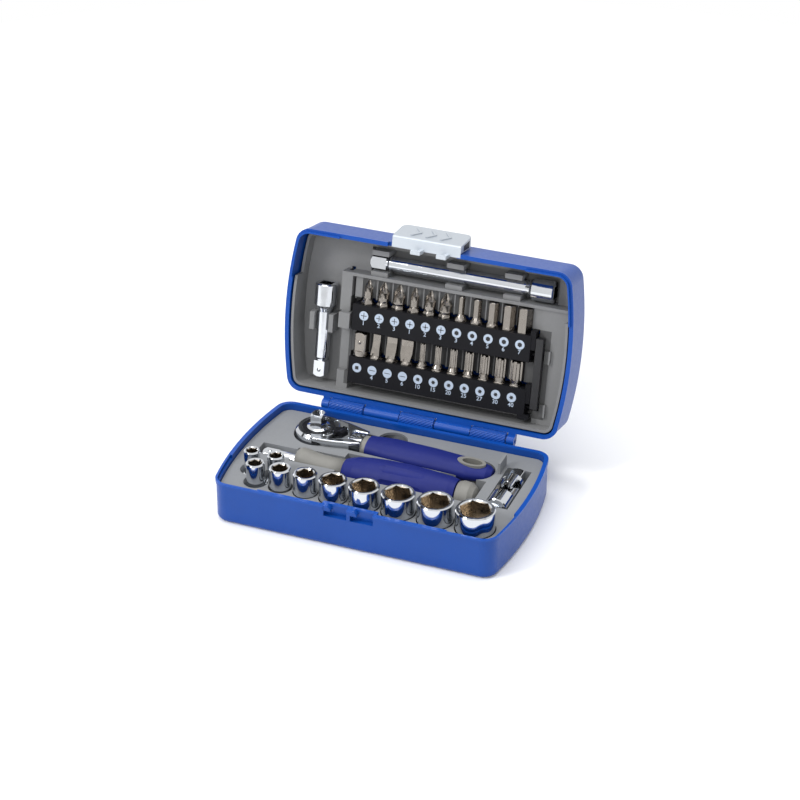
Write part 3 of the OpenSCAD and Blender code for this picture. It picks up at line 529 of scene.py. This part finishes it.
CROSS_RADII = (2.3, 3.0, 3.3, 2.3, 3.0, 3.3)
for number, radius in enumerate(CROSS_RADII, start=1):
    length = cross_bit("bit_cross_%d" % number, radius * MM)
print("cross bits are", round(length / MM, 1), "mm long")

# %% [markdown]
# ## Geometry Nodes for what repeats
# The ribs on the hinge and the discs on the rails are one shape laid down many times.
# A node tree with named inputs says how many, how far apart and how large, and can be used again.
# The result is turned into a plain mesh and the modifier is thrown away, because only meshes are kept.

# %% A tree builder
class Tree:
    """A Geometry Nodes tree with named inputs."""

    def __init__(self, name):
        self.tree = bpy.data.node_groups.new(name, "GeometryNodeTree")
        self.tree.interface.new_socket("Geometry", in_out="OUTPUT", socket_type="NodeSocketGeometry")
        self.entry = self.tree.nodes.new("NodeGroupInput")
        self.exit = self.tree.nodes.new("NodeGroupOutput")
        self.keys = {}

    def ask(self, name, kind, value=None):
        socket = self.tree.interface.new_socket(name, in_out="INPUT", socket_type="NodeSocket" + kind)
        if value is not None:
            socket.default_value = value
        self.keys[name] = socket.identifier
        return self.entry.outputs[name]

    def add(self, kind, settings=None, sockets=None, out=0):
        node = self.tree.nodes.new(kind)
        for key, value in (settings or {}).items():
            setattr(node, key, value)
        for key, value in (sockets or {}).items():
            if isinstance(value, bpy.types.NodeSocket):
                self.tree.links.new(value, node.inputs[key])
            else:
                node.inputs[key].default_value = value
        return node.outputs[out]

    def end(self, geometry, material):
        """Real geometry with its material, as the export needs it."""
        whole = self.add("GeometryNodeRealizeInstances", {}, {0: geometry})
        self.tree.links.new(
            self.add("GeometryNodeSetMaterial", {}, {"Geometry": whole, "Material": material}),
            self.exit.inputs[0],
        )


def grown(name, tree, values, place):
    """Runs a tree with these inputs and returns its result as a plain mesh object, put in place."""
    seed = placed(name + "_seed", bpy.data.meshes.new(name + "_seed"))
    maker = seed.modifiers.new("maker", "NODES")
    maker.node_group = tree.tree
    for key, value in values.items():
        maker[tree.keys[key]] = value
    bpy.context.view_layer.update()
    evaluated = seed.evaluated_get(bpy.context.evaluated_depsgraph_get())
    mesh = bpy.data.meshes.new_from_object(evaluated)
    bpy.data.objects.remove(seed)
    mesh.transform(place)
    mesh.name = name
    print(name, "has", len(mesh.polygons), "faces")
    return placed(name, mesh)


# %% [markdown]
# ## Latch
# The latch is a wedge: on the shut case its face leans further out towards the top.
# Three chevrons point the way in which a thumb pushes it, and two hooked tabs below reach for the base.
# It is drawn as a profile swept across its width, and its edges are rounded afterwards.

# %% Solids from points
def keep(shape, name, place, material, body):
    """Turns a bmesh into a placed piece with its finish, and lets it ride on a body."""
    bmesh.ops.recalc_face_normals(shape, faces=shape.faces)
    piece = piece_from(shape, name, place, material)
    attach(piece, body)
    return piece


def prism(shape, outline, x_low, x_high):
    """Adds an outline in y and z, swept along x."""
    first = [shape.verts.new((x_low * MM, y * MM, z * MM)) for y, z in outline]
    last = [shape.verts.new((x_high * MM, y * MM, z * MM)) for y, z in outline]
    shape.faces.new(first)
    shape.faces.new(last)
    for k in range(len(outline)):
        after = (k + 1) % len(outline)
        shape.faces.new((first[k], first[after], last[after], last[k]))


def raise_outline(shape, outline, floor, height):
    """Adds an outline in x and y at the floor's height and raises it into a slab."""
    low = [shape.verts.new((x, y, floor)) for x, y in outline]
    lifted = bmesh.ops.extrude_face_region(shape, geom=[shape.faces.new(low)])["geom"]
    tops = [item for item in lifted if isinstance(item, bmesh.types.BMVert)]
    bmesh.ops.translate(shape, verts=tops, vec=(0, 0, height))


def round_edges(shape, edges, radius, steps):
    bmesh.ops.bevel(shape, geom=edges, offset=radius * MM, segments=steps, profile=0.5, affect="EDGES")


# %% The wedge of the latch
LATCH_LEFT = -22.0
LATCH_RIGHT = 15.2
RIM = PIN.z / MM
FRONT = -44.25
SOLE = RIM + 0.03
PLATE = RIM + 0.38
CREST = RIM + 17.1
HEEL = -42.4
BACK = FRONT - 0.35
LATCH_PROFILE = [
    (HEEL, SOLE), (-48.0, SOLE), (-48.5, RIM + 0.7), (-51.0, RIM + 16.4),
    (-50.4, CREST), (BACK, CREST), (BACK, PLATE), (HEEL, PLATE),
]
SAME_PLACE = 1e-6


def end_edges(shape, fits):
    """Edges of the two end faces whose corners all fit."""
    return [
        edge for edge in shape.edges
        if abs(edge.verts[0].co.x - edge.verts[1].co.x) < SAME_PLACE
        and all(fits(vertex.co) for vertex in edge.verts)
    ]


cap = bmesh.new()
prism(cap, LATCH_PROFILE, LATCH_LEFT, LATCH_RIGHT)
round_edges(cap, end_edges(cap, lambda at: at.z > (RIM + 16) * MM), 2.4, 6)
round_edges(cap, end_edges(cap, lambda at: at.z < (RIM + 0.8) * MM and at.y < (FRONT - 3) * MM), 0.55, 3)
sharp = [edge for edge in cap.edges if edge.is_manifold and edge.calc_face_angle() > math.radians(50)]
round_edges(cap, sharp, 0.14, 2)
latch = keep(cap, "latch_cap", OPEN, latch_silver.material, "latch")
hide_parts("latch_slider")
print("the latch is", LATCH_RIGHT - LATCH_LEFT, "mm wide")

# %% A black block as painted shade in the hollow at the latch's end, and the latch's tabs
HOLLOW_PROFILE = [(-45.2, RIM + 4.4), (-48.0, RIM + 4.4), (-49.0, RIM + 12.8), (-45.2, RIM + 12.8)]
HOLLOW_DEPTH = 2.0
PROUD = 0.06
# Painted shade: a black block stands for the shade in the hollow at the latch's right end.
hollow_shade_block = bmesh.new()
prism(hollow_shade_block, HOLLOW_PROFILE, LATCH_RIGHT - HOLLOW_DEPTH, LATCH_RIGHT + PROUD)
keep(hollow_shade_block, "latch_hollow_painted_shade", OPEN, rail_black.material, "latch")

TAB_PLACES = (-9.4, 4.6)
TAB_FRONT = FRONT + 0.7
TAB_BACK = FRONT + 2.7
TAB_END = RIM - 5.2
TAB_WALL = (2.9, 4.6)
TAB_HOOK = (-0.6, 2.95)


def tab_outline(top):
    """The section of a tab from its end up to a height."""
    return [(TAB_FRONT, TAB_END), (TAB_BACK, TAB_END), (TAB_BACK, top), (TAB_FRONT, top)]


tabs = bmesh.new()
for left in TAB_PLACES:
    prism(tabs, tab_outline(RIM + 1.0), left + TAB_WALL[0], left + TAB_WALL[1])
    prism(tabs, tab_outline(RIM - 3.5), left + TAB_HOOK[0], left + TAB_HOOK[1])
keep(tabs, "latch_tabs", OPEN, latch_silver.material, "latch")
print("tabs on the latch:", len(TAB_PLACES))

# %% Chevrons on the latch
FACE_LEAN = 2.5
FACE_RISE = 15.8
SLOPE = math.atan2(FACE_LEAN, FACE_RISE)
CHEVRON = [(-2.3, 4.7), (-1.2, 4.7), (2.4, 0), (-1.2, -4.7), (-2.3, -4.7), (1.2, 0)]
CHEVRON_PITCH = 8
CHEVRON_HEIGHT = 0.65 * MM
chevrons = bmesh.new()
for k in (-1, 0, 1):
    outline = [((x + CHEVRON_PITCH * k) * MM, y * MM) for x, y in CHEVRON]
    raise_outline(chevrons, outline, 0, CHEVRON_HEIGHT)
middle = Vector(((LATCH_LEFT + LATCH_RIGHT) / 2 * MM, -49.6 * MM, (RIM + 8.2) * MM))
on_top = OPEN @ Matrix.Translation(middle) @ Matrix.Rotation(math.radians(90) + SLOPE, 4, "X")
keep(chevrons, "latch_chevrons", on_top, latch_silver.material, "latch")
print("the chevrons lie on a slope of", round(math.degrees(SLOPE), 1), "degrees")

# %% [markdown]
# ## Swellings
# The neck of the ratchet swells from the head to the ring of the grip.
# The core of the spinner flares at its end.
# Both are forged or moulded forms whose section changes all the way, which a turned solid can't follow.
# A loft does: a few sections are named by their half width and their low and high edge, and skinned.

# %% The loft
AROUND = 48


def loft(name, sections, place, material, body, power=2.6):
    """Skins rounded sections (x, half width, low, high), in millimetres along x."""
    shape = bmesh.new()
    rings = []
    for x, half, low, high in sections:
        middle_z, half_z = (low + high) / 2, (high - low) / 2
        ring = []
        for k in range(AROUND):
            angle = math.tau * k / AROUND
            c, s = math.cos(angle), math.sin(angle)
            y = math.copysign(abs(c) ** (2 / power), c) * half
            z = middle_z + math.copysign(abs(s) ** (2 / power), s) * half_z
            ring.append(shape.verts.new((x * MM, y * MM, z * MM)))
        rings.append(ring)
    skin(shape, rings)
    shape.faces.new(rings[0])
    shape.faces.new(rings[-1])
    for face in shape.faces:
        face.smooth = len(face.verts) == 4
    return keep(shape, name, place, material, body)


# %% The ratchet's neck and cheeks
HEAD = Vector(JOINTS["ratchet_spin"]["pos_m"])
TURN = math.radians(-2.9)
RATCHET = Matrix.Translation(HEAD) @ Matrix.Rotation(TURN, 4, "Z")
NECK = [
    (8.0, 10.4, -5.3, 2.1), (11.0, 9.6, -5.3, 2.1), (14.0, 8.4, -5.2, 2.3), (16.5, 7.5, -5.1, 3.2),
    (18.5, 7.0, -5.0, 4.4), (20.5, 6.7, -5.0, 4.9), (23.0, 6.6, -5.1, 5.0), (25.6, 6.7, -5.2, 5.0),
    (26.2, 6.5, -5.0, 4.8),
]
loft("ratchet_neck", NECK, RATCHET, polished_chrome.material, "ratchet")

CHEEK = [
    (0, 11.95), (3, 11.85), (9, 11.2), (14, 10.2), (20, 8.6), (26.2, 6.8),
    (26.2, 4.0), (18.5, 4.0), (12.6, 7.6), (3, 10.2), (0, 10.6),
]
CHEEK_FLOOR = 1.15 * MM
CHEEK_HEIGHT = 3.55 * MM
cheeks = bmesh.new()
for side in (-1, 1):
    raise_outline(cheeks, [(x * MM, side * y * MM) for x, y in CHEEK], CHEEK_FLOOR, CHEEK_HEIGHT)
bmesh.ops.recalc_face_normals(cheeks, faces=cheeks.faces)
crest = [
    edge for edge in cheeks.edges
    if min(vertex.co.z for vertex in edge.verts) > 4 * MM and edge.calc_face_angle() > math.radians(60)
]
round_edges(cheeks, crest, 0.9, 4)
for face in cheeks.faces:
    face.smooth = abs(face.normal.z) < 0.98
keep(cheeks, "ratchet_cheeks", RATCHET, polished_chrome.material, "ratchet")

# %% A black disc as painted shade in the groove round the square, and the spinner's flare
GROOVE_RADIUS = 8.5 * MM
GROOVE_DEPTH = 0.5 * MM
# Painted shade: a thin black disc stands for the shade in the groove round the square.
groove_shade_disc = bmesh.new()
bmesh.ops.create_cone(
    groove_shade_disc, cap_ends=True, segments=72, radius1=GROOVE_RADIUS, radius2=GROOVE_RADIUS, depth=GROOVE_DEPTH,
)
in_head = RATCHET @ Matrix.Translation((0, 0, 4.83 * MM))
keep(groove_shade_disc, "ratchet_groove_painted_shade", in_head, rail_black.material, "ratchet")

SPINNER = Matrix.Translation((0, 1.0 * MM, 14.8 * MM))
FLARE = [
    (-48.2, 3.4, -3.4, 4.6), (-47.6, 5.0, -5.0, 6.6), (-46.4, 6.0, -6.0, 7.9), (-44.6, 6.4, -6.3, 8.5),
    (-42.0, 6.4, -6.3, 8.2), (-38.5, 6.3, -6.2, 7.2), (-34.5, 6.2, -6.1, 6.5), (-29.0, 6.1, -6.0, 6.2),
    (-21.4, 6.3, -6.0, 6.4),
]
loft("spinner_flare", FLARE, SPINNER, grip_grey.material, "spinner", power=2.1)
print("lofts of", len(NECK), "and", len(FLARE), "sections")

# %% [markdown]
# ## Ribs on the hinge
# The three barrels of the base are moulded with slanting ribs, and those of the lid are plain.
# Each rib is a short piece of a helix that hugs the barrel, swept with a small round profile.
# One helix is instanced round the axis, as many times as there are ribs.

# %% The rib tree
ribs = Tree("barrel_ribs")
rib_count = ribs.ask("Count", "Int", 16)
rib_length = ribs.ask("Length", "Float", 0.019)
rib_barrel = ribs.ask("Barrel radius", "Float", 0.0027)
rib_turns = ribs.ask("Turns", "Float", 0.5)
rib_size = ribs.ask("Rib radius", "Float", 0.0002)
rib_finish = ribs.ask("Finish", "Material")
helix = ribs.add("GeometryNodeCurveSpiral", {}, {
    "Resolution": 26,
    "Rotations": rib_turns,
    "Start Radius": rib_barrel,
    "End Radius": rib_barrel,
    "Height": rib_length,
})
sites = ribs.add("GeometryNodeMeshLine", {}, {"Count": rib_count, "Offset": (0, 0, 0)})
step = ribs.add("ShaderNodeMath", {"operation": "DIVIDE"}, {0: math.tau, 1: rib_count})
index = ribs.add("GeometryNodeInputIndex")
turn = ribs.add("ShaderNodeMath", {"operation": "MULTIPLY"}, {0: index, 1: step})
spin = ribs.add("ShaderNodeCombineXYZ", {}, {"Z": turn})
rib_profile = {"Resolution": 6, "Radius": rib_size}
round_rib = ribs.add("GeometryNodeCurvePrimitiveCircle", {}, rib_profile, out="Curve")
rib_sites = {"Points": sites, "Instance": helix, "Rotation": spin}
spread = ribs.add("GeometryNodeInstanceOnPoints", {}, rib_sites)
swept = ribs.add("GeometryNodeCurveToMesh", {}, {
    "Curve": ribs.add("GeometryNodeRealizeInstances", {}, {0: spread}),
    "Profile Curve": round_rib,
    "Fill Caps": True,
})
ribs.end(swept, rib_finish)
print("the rib tree asks for", len(ribs.keys), "values")

# %% Ribs on the three barrels
def rod(name, radius, length, place, material):
    """A plain round bar along z."""
    shape = bmesh.new()
    bmesh.ops.create_cone(
        shape, cap_ends=True, segments=64, radius1=radius, radius2=radius, depth=length,
        matrix=Matrix.Translation((0, 0, length / 2)),
    )
    return piece_from(shape, name, place, material)


SLEEVE = 3.45 * MM
BARREL = 19.7 * MM
GAP = 0.5 * MM
ALONG_X = Matrix.Rotation(math.radians(90), 4, "Y")
RIB_VALUES = {
    "Count": 15,
    "Length": BARREL - 2 * GAP,
    "Barrel radius": SLEEVE,
    "Turns": 0.55,
    "Rib radius": 0.32 * MM,
    "Finish": case_blue.material,
}
for number, start in enumerate((-2.5, -0.5, 1.5)):
    place = Matrix.Translation((start * BARREL + GAP, PIN.y, PIN.z)) @ ALONG_X
    piece = grown("barrel_ribs_%d" % number, ribs, RIB_VALUES, place)
    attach(piece, "base")
    sleeve = rod("barrel_sleeve_%d" % number, SLEEVE, BARREL - 2 * GAP, place, case_blue.material)
    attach(sleeve, "base")

# %% [markdown]
# ## Printed rails
# Each place on a rail is marked with a pale disc that shows the tip, and with its size below.
# The printing is a film of ink, so discs and figures are slabs a few hundredths of a millimetre thick.
# The discs come from a tree; the symbols on them are small outlines filled in, and the sizes are plain text.

# %% Ink
def ink(name, colour):
    finish = Finish(name)
    worn = finish.noise(1800.0, 3.0)
    finish.set(
        Base_Color=finish.blend(worn, shade(colour, 0.92), shade(colour, 1.05)),
        Roughness=0.45 + worn * 0.15,
    )
    finish.bump(worn, 0.1, 0.00002)
    return finish


pale_ink = ink("pale_ink", (0.47, 0.55, 0.66))
gap_ink = ink("bare_rail", (0.0135, 0.0135, 0.016))
print("inks:", pale_ink.material.name, "and", gap_ink.material.name)

# %% The disc tree
discs = Tree("rail_discs")
disc_count = discs.ask("Count", "Int", 11)
disc_pitch = discs.ask("Pitch", "Vector", (0.0085, 0, 0))
disc_radius = discs.ask("Radius", "Float", 0.0025)
disc_depth = discs.ask("Thickness", "Float", 0.0001)
disc_finish = discs.ask("Finish", "Material")
row = discs.add("GeometryNodeMeshLine", {}, {"Count": disc_count, "Offset": disc_pitch})
one_disc = discs.add("GeometryNodeMeshCylinder", {}, {
    "Vertices": 40,
    "Radius": disc_radius,
    "Depth": disc_depth,
})
laid = discs.add("GeometryNodeInstanceOnPoints", {}, {"Points": row, "Instance": one_disc})
discs.end(laid, disc_finish)
print("the disc tree asks for", len(discs.keys), "values")

# %% Outlines of the symbols
def ring_points(count, radius, turn=0.0):
    angles = [turn + math.tau * k / count for k in range(count)]
    return [(radius * math.cos(angle), radius * math.sin(angle)) for angle in angles]


def cross_points(arm, half):
    quarter = [(arm, -half), (arm, half), (half, half)]
    turned = []
    for k in range(4):
        angle = math.radians(90 * k)
        turned += [
            (x * math.cos(angle) - y * math.sin(angle), x * math.sin(angle) + y * math.cos(angle))
            for x, y in quarter
        ]
    return turned


STAR_STEPS = 48


def star_points(radius):
    points = []
    for k in range(STAR_STEPS):
        angle = math.tau * k / STAR_STEPS
        reach = radius * (0.84 + 0.16 * math.cos(6 * angle))
        points.append((reach * math.cos(angle), reach * math.sin(angle)))
    return points


SYMBOLS = {
    "cross": [cross_points(1.55, 0.16)],
    "cross_plus": [cross_points(1.55, 0.16), ring_points(4, 0.62, 0.0)],
    "hexagon": [ring_points(6, 1.28, math.radians(30))],
    "square": [ring_points(4, 1.30, math.radians(45))],
    "slot": [[(-1.6, -0.15), (1.6, -0.15), (1.6, 0.15), (-1.6, 0.15)]],
    "star": [star_points(1.12)],
}


def slabs(name, outlines, thickness, material, place):
    """Filled outlines, each with its own centre, as one mesh of thin slabs."""
    shape = bmesh.new()
    for outline, (cx, cy) in outlines:
        raise_outline(shape, [(x * MM + cx, y * MM + cy) for x, y in outline], 0, thickness)
    bmesh.ops.recalc_face_normals(shape, faces=shape.faces)
    return piece_from(shape, name, place, material)


print("symbols:", ", ".join(SYMBOLS))

# %% [markdown]
# ## Sizes in figures
# The sizes below the discs are plain numbers, so Blender's own lettering is enough.
# A text is a curve, and it becomes a mesh before it is moved to its place.
# A small offset makes the strokes as bold as print.

# %% Numbers as one mesh
STROKE = 0.035 * MM


def figures(name, words, size, thickness, material, place):
    """Plain numbers, each centred on its own place, as one mesh."""
    shape = bmesh.new()
    for word, (cx, cy) in words:
        curve = bpy.data.curves.new(name, "FONT")
        curve.body = word
        curve.size = size
        curve.align_x = "CENTER"
        curve.align_y = "CENTER"
        curve.extrude = thickness / 2
        curve.offset = STROKE
        curve.resolution_u = 3
        holder = placed(name, curve)
        bpy.context.view_layer.update()
        mesh = bpy.data.meshes.new_from_object(holder.evaluated_get(bpy.context.evaluated_depsgraph_get()))
        mesh.transform(Matrix.Translation((cx, cy, thickness / 2)))
        shape.from_mesh(mesh)
        bpy.data.objects.remove(holder)
    return piece_from(shape, name, place, material)


# %% Lay the print on a rail
DISC = 2.5 * MM
FILM = 0.06 * MM
DISC_DROP = 5.6 * MM
SIZE_DROP = 9.6 * MM
SIZE_HEIGHT = 3.1 * MM
BIT_SEAT = 12 * MM


def print_rail(rail, bits, symbols, sizes):
    """Discs, symbols and sizes in the rail's own plane, then swung up with the lid."""
    low, high = shut_box(rail)
    first, last = shut_box(bits[0]), shut_box(bits[-1])
    x0 = (first[0].x + first[1].x) / 2
    pitch = ((last[0].x + last[1].x) / 2 - x0) / (len(bits) - 1)
    top = first[1].y - BIT_SEAT
    face = OPEN @ Matrix.Translation((x0, top, low.z)) @ Matrix.Rotation(math.radians(180), 4, "X")
    centres = [(k * pitch, -DISC_DROP) for k in range(len(bits))]
    values = {
        "Count": len(bits),
        "Pitch": (pitch, 0, 0),
        "Radius": DISC,
        "Thickness": FILM,
        "Finish": pale_ink.material,
    }
    lift = Matrix.Translation((0, -DISC_DROP, FILM / 2))
    made = [grown(rail + "_discs", discs, values, face @ lift)]
    marks = [(line, centres[k]) for k, symbol in enumerate(symbols) for line in SYMBOLS[symbol]]
    made.append(slabs(rail + "_symbols", marks, 2 * FILM, gap_ink.material, face))
    words = [(word, (k * pitch, -SIZE_DROP)) for k, word in enumerate(sizes) if word]
    made.append(figures(rail + "_sizes", words, SIZE_HEIGHT, FILM, pale_ink.material, face))
    body = "upper_rail" if rail.endswith("upper") else "lower_rail"
    for piece in made:
        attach(piece, body)
    print(rail, "pitch", round(pitch / MM, 2), "mm")


upper_bits = ["bit_cross_%d" % k for k in range(1, 7)] + ["bit_hex_%d" % k for k in range(3, 8)]
lower_bits = ["bit_adaptor"] + ["bit_slot_%d" % k for k in (4, 5, 6)]
lower_bits += ["bit_star_%d" % k for k in (10, 15, 20, 25, 27, 30, 40)]
print_rail("bit_rail_upper", upper_bits,
           ["cross"] * 3 + ["cross_plus"] * 3 + ["hexagon"] * 5,
           ["1", "2", "3", "1", "2", "3", "3", "4", "5", "6", "7"])
print_rail("bit_rail_lower", lower_bits,
           ["square"] + ["slot"] * 3 + ["star"] * 7,
           ["", "4", "5", "6", "10", "15", "20", "25", "27", "30", "40"])

# %% [markdown]
# ## Floor and sky
# The set stands in a plain white studio, so the floor is a broad pale sheet that keeps the shadow.
# The camera and the metal see a plain white sky.
# A dimmer and slightly cooler one lights everything else evenly, so that the colours keep their depth.

# %% The floor
FLOOR_REACH = 0.75
FLOOR_SIDES = 96
FLOOR_DROP = 0.2 * MM
floor_mesh = bpy.data.meshes.new("floor")
floor_edge = [(x, y, 0) for x, y in ring_points(FLOOR_SIDES, FLOOR_REACH)]
floor_mesh.from_pydata(floor_edge, [], [tuple(range(FLOOR_SIDES))])
floor = placed("floor", floor_mesh)
floor.location.z = -FLOOR_DROP
floor_finish = Finish("floor_white")
floor_finish.set(Base_Color=(0.96, 0.96, 0.96, 1), Roughness=0.9, Specular_IOR_Level=0.0)
floor_mesh.materials.append(floor_finish.material)
print("the floor is", 2 * FLOOR_REACH, "m wide")

# %% The sky
SKY_WHITE = (1, 1, 1, 1)
SKY_SOFT = (0.95, 0.97, 1.0, 1)
SKY_STRENGTH = 0.58
world = bpy.data.worlds.new("studio")
bpy.context.scene.world = world
world.use_nodes = True
sky = world.node_tree
sky.nodes.clear()
seen = sky.nodes.new("ShaderNodeLightPath")
white = sky.nodes.new("ShaderNodeBackground")
white.inputs["Color"].default_value = SKY_WHITE
soft = sky.nodes.new("ShaderNodeBackground")
soft.inputs["Color"].default_value = SKY_SOFT
soft.inputs["Strength"].default_value = SKY_STRENGTH
pick = sky.nodes.new("ShaderNodeMixShader")
out = sky.nodes.new("ShaderNodeOutputWorld")
either = sky.nodes.new("ShaderNodeMath")
either.operation = "MAXIMUM"
sky.links.new(seen.outputs["Is Camera Ray"], either.inputs[0])
sky.links.new(seen.outputs["Is Glossy Ray"], either.inputs[1])
sky.links.new(either.outputs[0], pick.inputs[0])
sky.links.new(soft.outputs[0], pick.inputs[1])
sky.links.new(white.outputs[0], pick.inputs[2])
sky.links.new(pick.outputs[0], out.inputs["Surface"])
print("the sky lights the set with strength", SKY_STRENGTH)

# %% [markdown]
# ## Lamps
# A large softbox overhead makes the pale streaks on the chrome, and a smaller one at the left gives shape.
# A third lamp in front lifts the faces that look at the camera.
# A dark card stands at each side of the set, so that the chrome has black edges to set off its white ones.
# The camera doesn't see them.

# %% Softboxes and cards
def aimed(holder, at, aim):
    """Moves a holder and turns its -z side to a point."""
    holder.location = at
    holder.rotation_euler = (Vector(aim) - Vector(at)).to_track_quat("-Z", "Y").to_euler()


def softbox(name, size, at, aim, power):
    lamp = bpy.data.lights.new(name, "AREA")
    lamp.shape = "RECTANGLE"
    lamp.size, lamp.size_y = size
    lamp.energy = power
    aimed(placed(name, lamp), at, aim)


card_finish = Finish("card_black")
card_finish.set(Base_Color=(0.02, 0.02, 0.022, 1), Roughness=0.9, Specular_IOR_Level=0.0)


def card(name, size, at, aim):
    mesh = bpy.data.meshes.new(name)
    w, h = size[0] / 2, size[1] / 2
    mesh.from_pydata([(-w, -h, 0), (w, -h, 0), (w, h, 0), (-w, h, 0)], [], [(0, 1, 2, 3)])
    mesh.materials.append(card_finish.material)
    holder = placed(name, mesh)
    aimed(holder, at, aim)
    holder.visible_camera = False
    holder.visible_shadow = False
    holder.visible_diffuse = False


MIDDLE = (0.0, 0.02, 0.04)
softbox("overhead", (2.0, 1.6), (-0.1, 0.2, 2.2), MIDDLE, 30.0)
softbox("left", (0.3, 0.3), (-0.6, -0.62, 0.85), MIDDLE, 6.0)
softbox("front", (0.6, 0.4), (0.3, -1.3, 0.9), MIDDLE, 4.5)
card("card_left", (0.4, 0.8), (-0.85, -0.35, 0.25), MIDDLE)
card("card_right", (0.5, 0.8), (0.85, -0.35, 0.25), MIDDLE)
print("lamps:", len(bpy.data.lights))

# %% [markdown]
# ## Camera
# The set is seen from the right and from above, through a long lens that hardly bends its parallel edges.
# The lens and the distance go together: near and far corners should taper as little as they do here.

# %% Set the camera
LENS = 103.05
SENSOR = 36.0
VIEW_FROM = (0.36847, -0.90976, 0.62655)
VIEW_TILT = math.radians(60.09)
VIEW_TURN = math.radians(21.55)
camera = bpy.data.cameras.new("camera")
camera.lens = LENS
camera.sensor_width = SENSOR
viewer = placed("camera", camera)
viewer.location = VIEW_FROM
viewer.rotation_euler = (VIEW_TILT, 0, VIEW_TURN)
bpy.context.scene.camera = viewer
bpy.context.scene.view_settings.view_transform = "Standard"
print("the camera stands", round(Vector(VIEW_FROM).length, 2), "m from the middle of the base")
